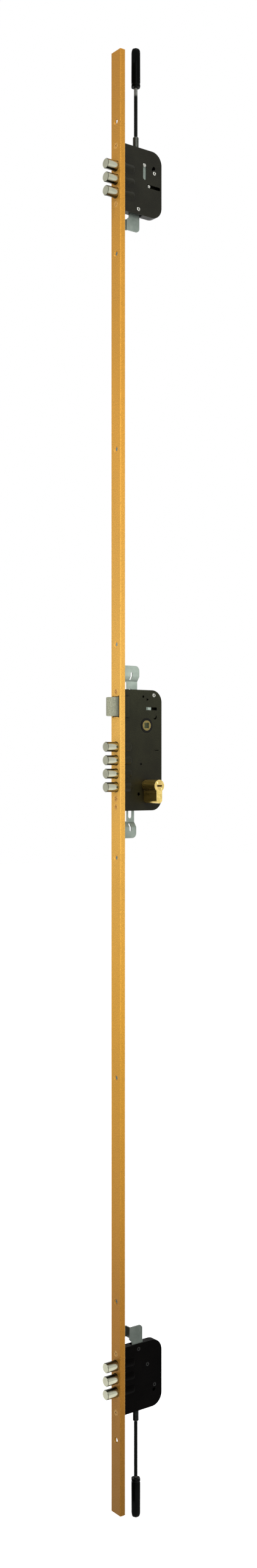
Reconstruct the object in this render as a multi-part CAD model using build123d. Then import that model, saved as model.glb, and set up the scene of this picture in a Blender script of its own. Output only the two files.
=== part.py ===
from build123d import *
import math
import os

# Layout. The origin is the spindle's axis; X goes into the door, Y across its thickness, Z up.
backset = 50.0
spindle_to_key = 85.0
upper_case_height = 760.5
lower_case_depth = 911.6

# Strip: a U channel whose web is the visible face.
strip_above_upper = 179.5
strip_below_lower = 188.4
strip_width = 22.0
flange_depth = 8.0
strip_sheet = 2.0
strip_bend = 1.2
bolt_hole_gap = 0.5
latch_hole_gap = 1.0
latch_hole_relief = 1.3
fixing_hole_radius = 2.6
fixing_sink_radius = 4.2
fixing_above_case = 29.0
fixing_below_case = 61.1
fixing_by_main_case = 62.5
fixing_near_lower = 65.3
fixing_past_lower = 33.7
upper_gap_share = 0.506
lower_gap_share = 0.54

# Cases: pressed from sheet, tray and cover.
case_sheet = 1.0
case_thickness = 11.0
case_depth = 75.0
case_corner = 17.0
case_above_spindle = 50.0
case_below_key = 35.0
side_case_inward = 42.0
side_case_outward = 52.0
bulge_radius = 8.3
bulge_round = 2.5
side_bulge_end = 28.6
latch_pad_rise = 2.8
latch_pad_round = 1.6
mouth_gap = 0.5
post_radius = 1.8
post_head_radius = 2.9
post_head_height = 0.4
post_dimple_radius = 1.6

# Gear drive. Two turns of the key make the whole stroke.
tooth_module = 1.25
cam_teeth = 10
wheel_teeth = 36
pinion_teeth = 8
flank_shares = (0, 0.35, 0.7, 1)
pressure_angle = 20.0
key_turns = 2
tooth_slack = 0.15
tooth_tip_gap = 0.2
wheel_tip_share = 0.6
rack_tip_share = 0.46
stud_radius = 2.5
stud_flange_radius = 4.0
running_gap = 0.06

# Bolts and their carriages.
bolt_radius = 7.0
bolt_pitch = 18.7
main_bolt_steps = (1.5, 0.5, -0.5, -1.5)
bolt_reach = 18.0
bolt_head_length = 21.6
bolt_chamfer = 0.8
bolt_rear_chamfer = 1.0
bolt_cross_hole = 1.6
bolt_cross_hole_from_face = 2.5
bolts_below_wheel = 2.35
neck_length = 4.9
neck_height = 7.0
tee_length = 3.3
tee_height = 10.0
tail_gap = 0.1
carriage_thickness = 3.0
carriage_bar_width = 10.9
carriage_front_gap = 1.5
carriage_end_wall = 1.1
slot_wall = 2.5
cam_pin_radius = 2.0
cam_pin_head_radius = 2.75
pin_gap = 0.15
slot_end_gap = 0.25

# Layers inside a case.
layer_gap = 0.1
wide_gap = 0.2
plate_thickness = 1.8

# Main case, places behind the strip or about the spindle.
main_pin_depth = 34.0
upper_pin_drop = 16.0
lower_pin_below_wheel = 16.75
rack_height = 13.3
rack_end = 8.0
plate_rear_depth = 39.5
plate_front_depth = 21.6
guide_pin_depth = 27.0
guide_pin_radius = 3.1
guide_pin_from_end = 19.6
lower_guide_from_end = 10.0
lobe_top = 33.5
lobe_bottom = 38.5
lobe_front_depth = 8.2
lobe_corner = 7.0
lobe_slot_radius = 1.7
joggle_start = 11.6
joggle_run = 6.9
lower_joggle_start = 16.0
lobe_slot_from_edge = 4.5
lobe_slot_length = 7.7
lobe_slot_depth = 26.0
lower_lobe_slot_depth = 24.0
lower_neck_step = 5.5
lower_neck_below_key = 15.0
main_foot_depth = 17.5
bar_block_depth = 8.8
main_post_height = 7.1
main_post_radius_from_rear = 13.5

# Bolt cases, places about the middle bolt.
side_pin_depth = 47.0
side_pin_out = 29.8
side_plate_rear_depth = 43.5
side_plate_front_depth = 25.5
side_plate_ear_depth = 51.5
side_plate_ear_height = 12.0
carriage_pin_depth = 54.8
carriage_pin_out = 1.3
carriage_pin_radius = 2.35
carriage_arm_half = 7.2
slide_slot_front_gap = 1.9
inner_post_depth = 36.0
inner_post_in = 34.7
outer_post_depth = 64.3
outer_post_out = 21.8
stud_post_depth = 51.7
stud_post_in = 9.7
comma_depth = 63.2
comma_out = 28.7
comma_radius = 2.6
tab_plate_length = 22.3
tab_front_depth = 21.0
tab_height = 14.8
lower_tab_extra = 3.1
tab_plate_corner = 5.5

# Connecting bars, flat against the far flange.
bar_thickness = 2.4
bar_front_depth = 3.5
bar_rear_depth = 20.0
foot_thickness = 1.8
foot_front_depth = 4.5
bar_rivet_radius = 1.6
bar_rivet_head_radius = 2.6
bar_rivet_head = 0.6
bar_rivet_depth = 13.6
bar_rivet_from_end = 4.3
second_rivet_share = 2.5
seat_gap = 0.05

# Rods.
rod_depth = 35.0
rod_radius = 2.55
sleeve_wall_gap = 0.3
sleeve_above_case = 15.8
sleeve_chamfer = 1.2
socket_depth = 12.0
cap_length = 54.5
cap_flat_width = 12.4
cap_tip_radius = 4.2
cap_tip_length = 4.5
cap_past_upper_end = 12.5
cap_past_lower_end = 14.0

# Screws and blocks.
screw_radius = 2.0
screw_head_radius = 4.0
screw_gap = 0.1
block_length = 6.4
block_height = 6.4
block_width = 17.6
spare_block_height = 3.5
spare_block_drop = 15.2
upper_screw_drop = 3.8
lower_screw_rise = 5.5
side_screw_outer_in = 4.6
side_screw_inner_out = 7.7
cylinder_screw_radius = 2.4
cylinder_screw_below_key = 17.9

# Profile cylinder.
profile_radius = 8.5
profile_tail_width = 10.0
profile_height = 33.0
cylinder_half_length = 35.0
cylinder_gap = 10.0
cylinder_bridge_below_key = 13.0
plug_radius = 6.25
plug_proud = 0.4
key_slot_width = 2.4
key_slot_height = 9.0
key_slot_depth = 22.0
plug_nose_radius = 3.0
profile_hole_gap = 0.3

# Spindle hub.
spindle_square = 8.0
hub_radius = 9.3
hub_end_radius = 7.0
collar_radius = 9.5
collar_rise = 0.5
hub_notch_radius = 1.1
lever_radius = 18.0
lever_tip_radius = 2.5
lever_neck_half = 1.8
lever_swing = 38.0
lever_gap = 0.25

# Latch.
latch_height = 26.6
latch_middle = 25.5
latch_width = 14.0
latch_reach = 11.5
latch_rear_depth = 5.5
latch_flat = 2.6
latch_end_gap = 0.35
latch_side_gap = 0.3
latch_corner = 1.5
latch_tail_low = 21.0
latch_tail_high = 31.0
latch_tail_length = 53.5
hook_low = 15.5
lug_from_hook = 5.5
lug_length = 4.3
lug_height = 3.6
lug_rise = 1.0
lug_slot_gap = 0.3
lug_slot_lead = 2.6
spring_height = 36.5
spring_radius = 2.1
spring_wire_radius = 0.35
spring_turns = 9
anchor_depth = 49.2
anchor_thickness = 1.0
anchor_half = 2.6

# Small openings of the main case.
arm_tab_depth = 64.5
arm_tab_length = 7.4
arm_tab_thickness = 1.0
crescent_depth = 65.1
crescent_height = 12.1
crescent_radius = 3.4
small_hole_radius = 1.75
small_hole_depth = 40.1
small_hole_above_key = 30.5
pin_hole_radius = 2.5
pin_hole_depth = 36.2
pin_hole_below_key = 11.8
upper_hole_depth = 44.3
upper_hole_drop = 9.5
edge_notch_depth = 3.0
edge_notch_height = 7.2
edge_notch_low = 20.8

overrun = 1.0

# Worked-out places.
front = -backset
web_rear = front + strip_sheet
flange_rear = front + flange_depth
half_strip = strip_width / 2
half_inside = half_strip - strip_sheet
inner_half = case_thickness / 2 - case_sheet
outer_half = case_thickness / 2
case_rear = web_rear + case_depth
key_z = -spindle_to_key
upper_z = upper_case_height
lower_z = -lower_case_depth
strip_top = upper_z + strip_above_upper
strip_bottom = lower_z - strip_below_lower
main_top = case_above_spindle
main_bottom = key_z - case_below_key
reach = 2 * case_depth

cam_radius = tooth_module * cam_teeth / 2
wheel_radius = tooth_module * wheel_teeth / 2
pinion_radius = tooth_module * pinion_teeth / 2
cam_tip = cam_radius + tooth_module
wheel_tip = wheel_radius + tooth_module * wheel_tip_share
pinion_tip = pinion_radius + tooth_module
wheel_z = key_z + cam_radius + wheel_radius
rack_line = wheel_z + pinion_radius
throw = 2 * math.pi * pinion_radius * key_turns * cam_teeth / wheel_teeth

mid_half = carriage_thickness / 2
plate_far = inner_half - layer_gap
plate_near = plate_far - plate_thickness
gear_near = -inner_half + wide_gap
gear_far = -mid_half - wide_gap
flush_near = -outer_half + layer_gap

bolt_tip = front - bolt_reach
bolt_rear = bolt_tip + bolt_head_length
bolts_z = wheel_z - bolts_below_wheel
main_bolts = [bolts_z + bolt_pitch * step for step in main_bolt_steps]
side_bolts = [bolt_pitch, 0, -bolt_pitch]
main_bulge_end = bolt_rear + throw + bolt_rear_chamfer + case_sheet
side_bulge_x = front + side_bulge_end

bar_front_x = bolt_rear + carriage_front_gap
bar_rear_x = bar_front_x + carriage_bar_width
bar_half = bolt_pitch + tee_height / 2 + carriage_end_wall
main_bar_half = bolt_pitch * 1.5 + tee_height / 2 + carriage_end_wall + wide_gap

latch_travel = 2 * lever_radius * math.sin(math.radians(lever_swing / 2))
latch_rear = front + latch_rear_depth
latch_low = latch_middle - latch_height / 2
latch_high = latch_middle + latch_height / 2
hook_x = -lever_radius * math.sin(math.radians(lever_swing / 2)) + lever_tip_radius + lever_gap

block_front = web_rear + wide_gap
block_rear = block_front + block_length
main_screws = [main_top - upper_screw_drop, main_bottom + lower_screw_rise]
side_screws = [side_case_outward - side_screw_outer_in, -side_case_inward + side_screw_inner_out]
screw_heights = (
    [upper_z + height for height in side_screws]
    + main_screws
    + [lower_z - height for height in side_screws]
)
fixing_heights = [
    upper_z + side_case_outward + fixing_above_case,
    upper_z - side_case_inward - fixing_below_case,
    upper_z * upper_gap_share,
    main_top + fixing_by_main_case,
    main_bottom - fixing_near_lower,
    lower_z * lower_gap_share,
    lower_z + side_case_inward + fixing_near_lower,
    lower_z - side_case_outward - fixing_past_lower,
]
cylinder_screw_z = key_z - cylinder_screw_below_key


def slab(outline, near, far):
    """Flat piece between two Y planes, from an outline drawn in X and Z."""
    return extrude(Plane.XZ.offset(-(near + far) / 2) * outline, (far - near) / 2, both=True)


def rise(outline, low, high):
    """Upright piece between two heights, from an outline drawn in X and Y."""
    return extrude(Plane.XY.offset((low + high) / 2) * outline, (high - low) / 2, both=True)


def block(x0, x1, y0, y1, z0, z1):
    return Pos((x0 + x1) / 2, (y0 + y1) / 2, (z0 + z1) / 2) * Box(x1 - x0, y1 - y0, z1 - z0)


def along_x(x0, x1, radius, y, z):
    return Pos((x0 + x1) / 2, y, z) * Rot(0, 90, 0) * Cylinder(radius, x1 - x0)


def along_y(y0, y1, radius, x, z):
    return Pos(x, (y0 + y1) / 2, z) * Rot(90, 0, 0) * Cylinder(radius, y1 - y0)


def along_z(z0, z1, radius, x, y):
    return Pos(x, y, (z0 + z1) / 2) * Cylinder(radius, z1 - z0)


def cone_x(x0, x1, radius_0, radius_1, z):
    return Pos((x0 + x1) / 2, 0, z) * Rot(0, 90, 0) * Cone(radius_0, radius_1, x1 - x0)


def rect(x0, x1, z0, z1):
    return Pos((x0 + x1) / 2, (z0 + z1) / 2) * Rectangle(x1 - x0, z1 - z0)


def shape(*points):
    """Outline through the given corners, turned so that it always faces the same way."""
    turns = sum(a[0] * b[1] - b[0] * a[1] for a, b in zip(points, points[1:] + points[:1]))
    return Polygon(*(points if turns > 0 else points[::-1]), align=None)


def disc(x, z, radius):
    return Pos(x, z) * Circle(radius)


def track(x0, z0, x1, z1, half):
    """Slot outline, round at both ends, between two centres."""
    run = math.hypot(x1 - x0, z1 - z0)
    turn = math.degrees(math.atan2(z1 - z0, x1 - x0))
    return Pos((x0 + x1) / 2, (z0 + z1) / 2) * Rot(0, 0, turn) * SlotCenterToCenter(run, 2 * half)


def soften(outline, corners, radius):
    """Rounds the corners of an outline that lie nearest the given places."""
    for x, z in corners:
        corner = outline.vertices().sort_by_distance((x, z, 0))[0]
        outline = fillet(corner, radius)
    return outline


def gear_outline(teeth, tip, root, first):
    """Spur gear: involute flanks in short straight facets, the first tooth at the angle given."""
    pitch = tooth_module * teeth / 2
    pressure = math.radians(pressure_angle)
    base = pitch * math.cos(pressure)
    half = (math.pi * tooth_module / 2 - tooth_slack) / (2 * pitch)
    lean = math.tan(pressure) - pressure
    start = max(base, root)
    flank = []
    for share in flank_shares:
        radius = start + (tip - start) * share
        roll = math.acos(min(1, base / radius))
        flank.append((radius, half + lean - math.tan(roll) + roll))
    if root < start:
        flank.insert(0, (root, flank[0][1]))
    points = []
    for tooth in range(teeth):
        middle = math.radians(first) + 2 * math.pi * tooth / teeth
        for radius, angle in flank:
            points.append((radius * math.cos(middle - angle), radius * math.sin(middle - angle)))
        for radius, angle in reversed(flank):
            points.append((radius * math.cos(middle + angle), radius * math.sin(middle + angle)))
    return shape(*points)


def save(piece, node):
    export_step(piece, "parts/" + node + ".step")


def group(pieces):
    return Compound(children=list(pieces))


# Cases.
def case_outline(low, high, inset):
    x0 = web_rear - (overrun if inset else 0)
    x1 = case_rear - inset
    outline = rect(x0, x1, low + inset, high - inset)
    return soften(outline, [(x1, low + inset), (x1, high - inset)], case_corner - inset)


def beyond(side, low, high):
    if side > 0:
        return block(web_rear, case_rear, inner_half, half_strip, low, high)
    return block(web_rear, case_rear, -half_strip, -inner_half, low, high)


def bulge(z, end, inset):
    body = along_x(web_rear - (overrun if inset else 0), end - inset, bulge_radius - inset, 0, z)
    return fillet(body.edges().group_by(Axis.X)[-1], bulge_round - inset)


def latch_pad(side, inset):
    rise = outer_half + latch_pad_rise - inset
    end = latch_rear + latch_travel + latch_end_gap + case_sheet - inset
    low = latch_low - latch_side_gap - case_sheet + inset
    high = latch_high + latch_side_gap + case_sheet - inset
    x0 = web_rear - (overrun if inset else 0)
    pad = block(x0, end, 0, rise, low, high)
    top = pad.faces().sort_by(Axis.Y)[-1]
    pad = fillet(top.edges().sort_by(Axis.X)[1:], latch_pad_round - inset)
    return pad if side > 0 else mirror(pad, Plane.XZ)


def skin(side, low, high, heights, bulge_end, screws, with_rim):
    """One half of a case: a tray where it has the rim, a plain cover where it hasn't."""
    outline = case_outline(low, high, 0)
    if with_rim:
        near, far = (-inner_half, outer_half) if side > 0 else (-outer_half, inner_half)
        body = slab(outline, near, far)
        inside = case_outline(low, high, case_sheet)
        if side > 0:
            body -= slab(inside, near - overrun, inner_half)
        else:
            body -= slab(inside, -inner_half, far + overrun)
    else:
        near, far = (inner_half, outer_half) if side > 0 else (-outer_half, -inner_half)
        body = slab(outline, near, far)
    zone = beyond(side, low, high)
    for z in heights:
        body += bulge(z, bulge_end, 0) & zone
    for z in heights:
        body -= bulge(z, bulge_end, case_sheet)
    notch = block_height / 2 + wide_gap
    for z in screws:
        body -= block(web_rear - overrun, block_rear + wide_gap, -half_strip, half_strip, z - notch, z + notch)
    return body


def through(x, z, radius):
    return along_y(-reach, reach, radius, x, z)


def post(x, z, stops_at=None):
    """Ring rivet through both sheets, or a stud from the tray that stops inside."""
    near = -outer_half - post_head_height if stops_at is None else stops_at
    body = along_y(near, outer_half + post_head_height, post_radius, x, z)
    body += along_y(outer_half, outer_half + post_head_height, post_head_radius, x, z)
    body -= along_y(outer_half + post_head_height / 2, half_strip, post_dimple_radius, x, z)
    if stops_at is None:
        body += along_y(near, -outer_half, post_head_radius, x, z)
        body -= along_y(-half_strip, -outer_half - post_head_height / 2, post_dimple_radius, x, z)
    return body


# Bolts.
def bolt(z, pierced):
    head = along_x(bolt_tip, bolt_rear, bolt_radius, 0, z)
    head = chamfer(head.edges().group_by(Axis.X)[0], bolt_chamfer)
    head = chamfer(head.edges().group_by(Axis.X)[-1], bolt_rear_chamfer)
    neck_end = bolt_rear + neck_length
    tee_end = neck_end + tee_length
    half = neck_height / 2
    head += block(bolt_rear - bolt_rear_chamfer, neck_end, -mid_half, mid_half, z - half, z + half)
    half = tee_height / 2
    head += block(neck_end, tee_end, -mid_half, mid_half, z - half, z + half)
    if pierced:
        x = front - bolt_cross_hole_from_face
        head -= along_y(-bolt_radius - overrun, -mid_half, bolt_cross_hole, x, z)
    return head


def tail_notch(z):
    """Outline that a bolt's tail leaves in its carriage."""
    neck_end = bolt_rear + neck_length - tail_gap
    tee_end = bolt_rear + neck_length + tee_length + tail_gap
    half = neck_height / 2 + tail_gap
    notch = rect(bar_front_x - overrun, neck_end + tail_gap, z - half, z + half)
    half = tee_height / 2 + tail_gap
    return notch + rect(neck_end, tee_end, z - half, z + half)


slot_half = cam_pin_radius + pin_gap
band_half = slot_half + slot_wall
end_run = slot_end_gap / math.sqrt(2)


def cam_slot(x, z, way, half):
    """Slanted slot of a carriage from the rest place of its pin; way is the sense of its rise."""
    return track(x + end_run, z + way * end_run, x - throw - end_run, z - way * (throw + end_run), half)


def passage(x, z, radius):
    """What a fixed round piece clears in a carriage that slides past it."""
    return track(x + overrun, z, x - throw - overrun, z, radius)


# Bolt case pieces, drawn about the middle bolt with +Z away from the main case.
side_pin_x = front + side_pin_depth
inner_post_x = front + inner_post_depth
outer_post_x = front + outer_post_depth
stud_post_x = front + stud_post_depth
carriage_pin_x = front + carriage_pin_depth
rod_x = front + rod_depth
sleeve_radius = inner_half - sleeve_wall_gap
sleeve_low = bar_half + throw + 3 * slot_end_gap
sleeve_high = side_case_outward + sleeve_above_case
lap_top = side_case_outward - case_sheet - wide_gap
plate_x0 = front + side_plate_front_depth
plate_x1 = front + side_plate_rear_depth
tab_x = front + tab_front_depth
comma_x = front + comma_depth
low_end = -side_case_inward
high_end = side_case_outward


def side_cover():
    body = skin(-1, low_end, high_end, side_bolts, side_bulge_x, side_screws, False)
    half = cam_pin_head_radius + pin_gap
    z0 = side_pin_out + slot_end_gap
    z1 = side_pin_out - throw - slot_end_gap
    body -= slab(track(side_pin_x, z0, side_pin_x, z1, half), -half_strip, 0)
    half = carriage_pin_radius + pin_gap
    x0 = carriage_pin_x - slide_slot_front_gap
    x1 = carriage_pin_x + throw + slot_end_gap
    body -= slab(track(x0, carriage_pin_out, x1, carriage_pin_out, half), -half_strip, 0)
    body -= slab(comma(), -half_strip, 0)
    for x, z in ((inner_post_x, -inner_post_in), (outer_post_x, outer_post_out)):
        body -= through(x, z, post_radius + seat_gap)
    return body


def comma():
    tip = comma_radius / 2
    return disc(comma_x, comma_out, comma_radius) + track(
        comma_x - comma_radius + tip, comma_out, comma_x - comma_radius, comma_out - comma_radius, tip
    )


def side_tray():
    body = skin(1, low_end, high_end, side_bolts, side_bulge_x, side_screws, True)
    mouth = block(
        plate_x0 - mouth_gap, plate_x1 + mouth_gap, -half_strip, inner_half, low_end - overrun, low_end + 2 * case_sheet
    )
    body -= mouth
    half = sleeve_radius + sleeve_wall_gap
    body -= block(rod_x - half, rod_x + half, -half_strip, inner_half, high_end - 2 * case_sheet, high_end + overrun)
    body -= through(comma_x, comma_out, comma_radius)
    posts = ((inner_post_x, -inner_post_in), (outer_post_x, outer_post_out), (stud_post_x, -stud_post_in))
    for x, z in posts:
        body -= through(x, z, post_radius + seat_gap)
    return body


def side_posts():
    return group(
        [
            post(inner_post_x, -inner_post_in),
            post(outer_post_x, outer_post_out),
            post(stud_post_x, -stud_post_in, mid_half + layer_gap),
        ]
    )


def side_carriage():
    outline = rect(bar_front_x, bar_rear_x, -bar_half, bar_half)
    arm_x = carriage_pin_x + carriage_pin_radius
    arm = rect(bar_rear_x - overrun, arm_x, -carriage_arm_half, carriage_arm_half)
    arm = soften(arm, [(arm_x, carriage_arm_half), (arm_x, -carriage_arm_half)], carriage_pin_radius)
    outline += arm
    outline += cam_slot(side_pin_x, side_pin_out, 1, band_half)
    shoulder = side_pin_x - side_pin_out + bar_half - band_half * math.sqrt(2)
    outline += shape(
        (bar_rear_x - overrun, bar_half),
        (shoulder, bar_half),
        (shoulder, 0),
        (bar_rear_x - overrun, 0),
    )
    for z in side_bolts:
        outline -= tail_notch(z)
    outline -= cam_slot(side_pin_x, side_pin_out, 1, slot_half)
    outline -= passage(outer_post_x, outer_post_out, post_radius + wide_gap)
    body = slab(outline, -mid_half, mid_half)
    return body - through(carriage_pin_x, carriage_pin_out, post_radius + seat_gap)


def side_carriage_pin():
    body = along_y(-mid_half, mid_half, post_radius, carriage_pin_x, carriage_pin_out)
    return body + along_y(flush_near, -mid_half, carriage_pin_radius, carriage_pin_x, carriage_pin_out)


def side_drive_pin():
    body = along_y(gear_far, plate_far, cam_pin_radius, side_pin_x, side_pin_out)
    return body + along_y(flush_near, gear_far, cam_pin_head_radius, side_pin_x, side_pin_out)


def side_plate(extra):
    """Drive plate of a bolt case without the foot that meets the connecting bar."""
    bottom = low_end - tab_plate_length - extra
    half = sleeve_radius
    outline = rect(plate_x0, plate_x1, low_end - 2 * tab_plate_corner, side_pin_out + slot_end_gap)
    lap = rect(rod_x - half, rod_x + half, side_pin_out - overrun, lap_top)
    outline += soften(lap, [(rod_x - half, lap_top), (rod_x + half, lap_top)], half / 2)
    ear_x = front + side_plate_ear_depth
    ear_half = side_plate_ear_height / 2
    ear = rect(plate_x1 - overrun, ear_x, side_pin_out - ear_half, side_pin_out + ear_half)
    ear = soften(ear, [(ear_x, side_pin_out - ear_half), (ear_x, side_pin_out + ear_half)], ear_half / 2)
    outline += ear
    step = plate_x0 - tab_x
    base = low_end - mouth_gap - carriage_thickness
    lower = shape(
        (tab_x, bottom), (tab_x, base - step), (plate_x0, base), (plate_x1, base), (plate_x1, bottom)
    )
    lower = soften(lower, [(plate_x1, bottom)], tab_plate_corner)
    outline += lower
    half = post_radius + wide_gap
    z0 = -inner_post_in - slot_end_gap
    z1 = -inner_post_in + throw + slot_end_gap
    outline -= track(inner_post_x, z0, inner_post_x, z1, half)
    body = slab(outline, plate_near, plate_far)
    body -= through(side_pin_x, side_pin_out, cam_pin_radius + seat_gap)
    return body - through(rod_x, (sleeve_low + lap_top) / 2, bar_rivet_radius / 2 + seat_gap)


def side_sleeve():
    body = along_z(sleeve_low, sleeve_high, sleeve_radius, rod_x, 0)
    body = chamfer(body.edges().group_by(Axis.Z)[-1], sleeve_chamfer)
    body -= block(rod_x - reach, rod_x + reach, plate_near, half_strip, sleeve_low - overrun, lap_top + layer_gap)
    body -= along_z(sleeve_high - socket_depth, sleeve_high + overrun, rod_radius + seat_gap, rod_x, 0)
    return body - through(rod_x, (sleeve_low + lap_top) / 2, bar_rivet_radius / 2 + seat_gap)


def lap_rivet():
    return along_y(-mid_half, plate_far, bar_rivet_radius / 2, rod_x, (sleeve_low + lap_top) / 2)


def foot(near, z0, z1, riser_x0, riser_x1, foot_x1):
    """Riser and foot that carry a plate across to the connecting bar, in the lock's own frame."""
    x0 = front + foot_front_depth
    body = block(x0, foot_x1, foot_near, foot_far, z0, z1)
    return body + block(riser_x0, riser_x1, near, foot_far, z0, z1)


foot_far = half_inside - wide_gap - bar_thickness
foot_near = foot_far - foot_thickness
bar_far = half_inside - wide_gap
bar_x0 = front + bar_front_depth
bar_x1 = front + bar_rear_depth


def bar_rivet(x, z):
    body = along_y(foot_near, bar_far, bar_rivet_radius, x, z)
    return body + along_y(foot_near - bar_rivet_head, foot_near, bar_rivet_head_radius, x, z)


def rod(z0, z1):
    return along_z(z0, z1, rod_radius, rod_x, 0)


def cap(z0, z1, way):
    """Six-sided end cap; way is +1 when its tip points up."""
    across = cap_flat_width / math.sqrt(3)
    tip_z = z1 - cap_tip_length if way > 0 else z0 + cap_tip_length
    low, high = (z0, tip_z) if way > 0 else (tip_z, z1)
    prism = rise(Pos(rod_x, 0) * RegularPolygon(across, 6), low, high)
    base = Plane.XY.offset(tip_z) * Pos(rod_x, 0) * RegularPolygon(across, 6)
    end = Plane.XY.offset(z1 if way > 0 else z0) * Pos(rod_x, 0) * RegularPolygon(cap_tip_radius, 6)
    body = prism + loft([base, end])
    mouth = z0 if way > 0 else z1
    return body - along_z(mouth - socket_depth, mouth + socket_depth, rod_radius + seat_gap, rod_x, 0)


# Main case pieces.
main_pin_x = front + main_pin_depth
upper_pin_z = -upper_pin_drop
lower_pin_z = wheel_z - lower_pin_below_wheel
plate_a_x0 = front + plate_front_depth
plate_a_x1 = front + plate_rear_depth
guide_x = front + guide_pin_depth
upper_guide_z = main_top - guide_pin_from_end
lower_guide_z = main_bottom + lower_guide_from_end
lobe_x0 = front + lobe_front_depth
main_post_x = case_rear - main_post_radius_from_rear
main_post_z = main_top - main_post_height
lower_post_x = main_post_x + slot_wall
lower_post_z = main_bottom + case_corner + slot_wall
anchor_x = front + anchor_depth
arm_tab_x = front + arm_tab_depth
rack_root = rack_line + pinion_tip - pinion_radius + tooth_tip_gap
arm_top = rack_root + rack_height


def euro_profile(grow):
    half = profile_tail_width / 2 + grow
    foot_z = key_z + profile_radius - profile_height + profile_tail_width / 2
    outline = disc(0, key_z, profile_radius + grow) + rect(-half, half, foot_z, key_z)
    return outline + disc(0, foot_z, half)


def main_openings(body):
    notch = spare_block_height / 2 + wide_gap
    z = -spare_block_drop
    body -= block(web_rear - overrun, block_rear + wide_gap, -half_strip, half_strip, z - notch, z + notch)
    body -= through(0, 0, hub_end_radius + running_gap)
    body -= slab(euro_profile(profile_hole_gap), -half_strip, half_strip)
    for x, z in ((main_post_x, main_post_z), (lower_post_x, lower_post_z)):
        body -= through(x, z, post_radius + seat_gap)
    return body


def collar(side):
    ring = Circle(collar_radius) - Circle(hub_end_radius + running_gap)
    if side > 0:
        return slab(ring, outer_half, outer_half + collar_rise)
    return slab(ring, -outer_half - collar_rise, -outer_half)


def main_cover():
    body = skin(-1, main_bottom, main_top, main_bolts, main_bulge_end, main_screws, False)
    body += latch_pad(-1, 0) & beyond(-1, main_bottom, main_top)
    body -= latch_pad(-1, case_sheet)
    body += collar(-1)
    body = main_openings(body)
    near, far = -half_strip, 0
    half = lug_height / 2 + lug_slot_gap
    middle = latch_tail_low + lug_rise + lug_height / 2
    x0 = hook_x + lug_from_hook - lug_slot_lead
    x1 = hook_x + lug_from_hook + lug_length + latch_travel + lug_slot_gap
    body -= slab(rect(x0, x1, middle - half, middle + half), near, far)
    crescent_x = front + crescent_depth
    moon = disc(crescent_x, crescent_height, crescent_radius)
    moon -= disc(crescent_x - crescent_radius / 2, crescent_height + crescent_radius / 2, crescent_radius)
    body -= slab(moon, near, far)
    body -= slab(disc(front + small_hole_depth, key_z + small_hole_above_key, small_hole_radius), near, far)
    body -= slab(disc(front + pin_hole_depth, key_z - pin_hole_below_key, pin_hole_radius), near, far)
    body -= slab(disc(front + upper_hole_depth, main_top - upper_hole_drop, small_hole_radius), near, far)
    tri = shape(
        (anchor_x, spring_height - anchor_half),
        (anchor_x + 2 * anchor_half, spring_height),
        (anchor_x, spring_height + anchor_half),
    )
    body -= slab(tri, near, far)
    body += block(
        anchor_x,
        anchor_x + anchor_thickness,
        -outer_half,
        spring_radius,
        spring_height - anchor_half,
        spring_height + anchor_half,
    )
    z0 = arm_top + wide_gap
    body -= slab(
        rect(arm_tab_x, arm_tab_x + arm_tab_length, z0 + arm_tab_thickness, z0 + 2 * arm_tab_thickness), near, far
    )
    body += block(arm_tab_x, arm_tab_x + arm_tab_length, -outer_half, mid_half, z0, z0 + arm_tab_thickness)
    body -= block(
        web_rear - overrun,
        web_rear + edge_notch_depth,
        -half_strip,
        -outer_half,
        edge_notch_low,
        edge_notch_low + edge_notch_height,
    )
    return body


def main_tray():
    body = skin(1, main_bottom, main_top, main_bolts, main_bulge_end, main_screws, True)
    body += latch_pad(1, 0) & beyond(1, main_bottom, main_top)
    body -= latch_pad(1, case_sheet)
    body += collar(1)
    body = main_openings(body)
    x0 = lobe_x0 + mouth_gap / 2
    body -= block(x0, plate_a_x1 + mouth_gap, -half_strip, inner_half, main_top - 2 * case_sheet, main_top + overrun)
    x1 = lower_neck_x1 + mouth_gap
    body -= block(x0, x1, -half_strip, inner_half, main_bottom - overrun, main_bottom + 2 * case_sheet)
    for z in (upper_guide_z, lower_guide_z):
        body -= through(guide_x, z, post_radius + seat_gap)
    return body - through(0, wheel_z, post_radius + seat_gap)


def guide_pin(x, z, radius):
    body = along_y(mid_half + layer_gap, inner_half, radius, x, z)
    body += along_y(inner_half, outer_half + post_head_height, post_radius, x, z)
    return body + along_y(outer_half, outer_half + post_head_height, post_head_radius, x, z)


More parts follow.
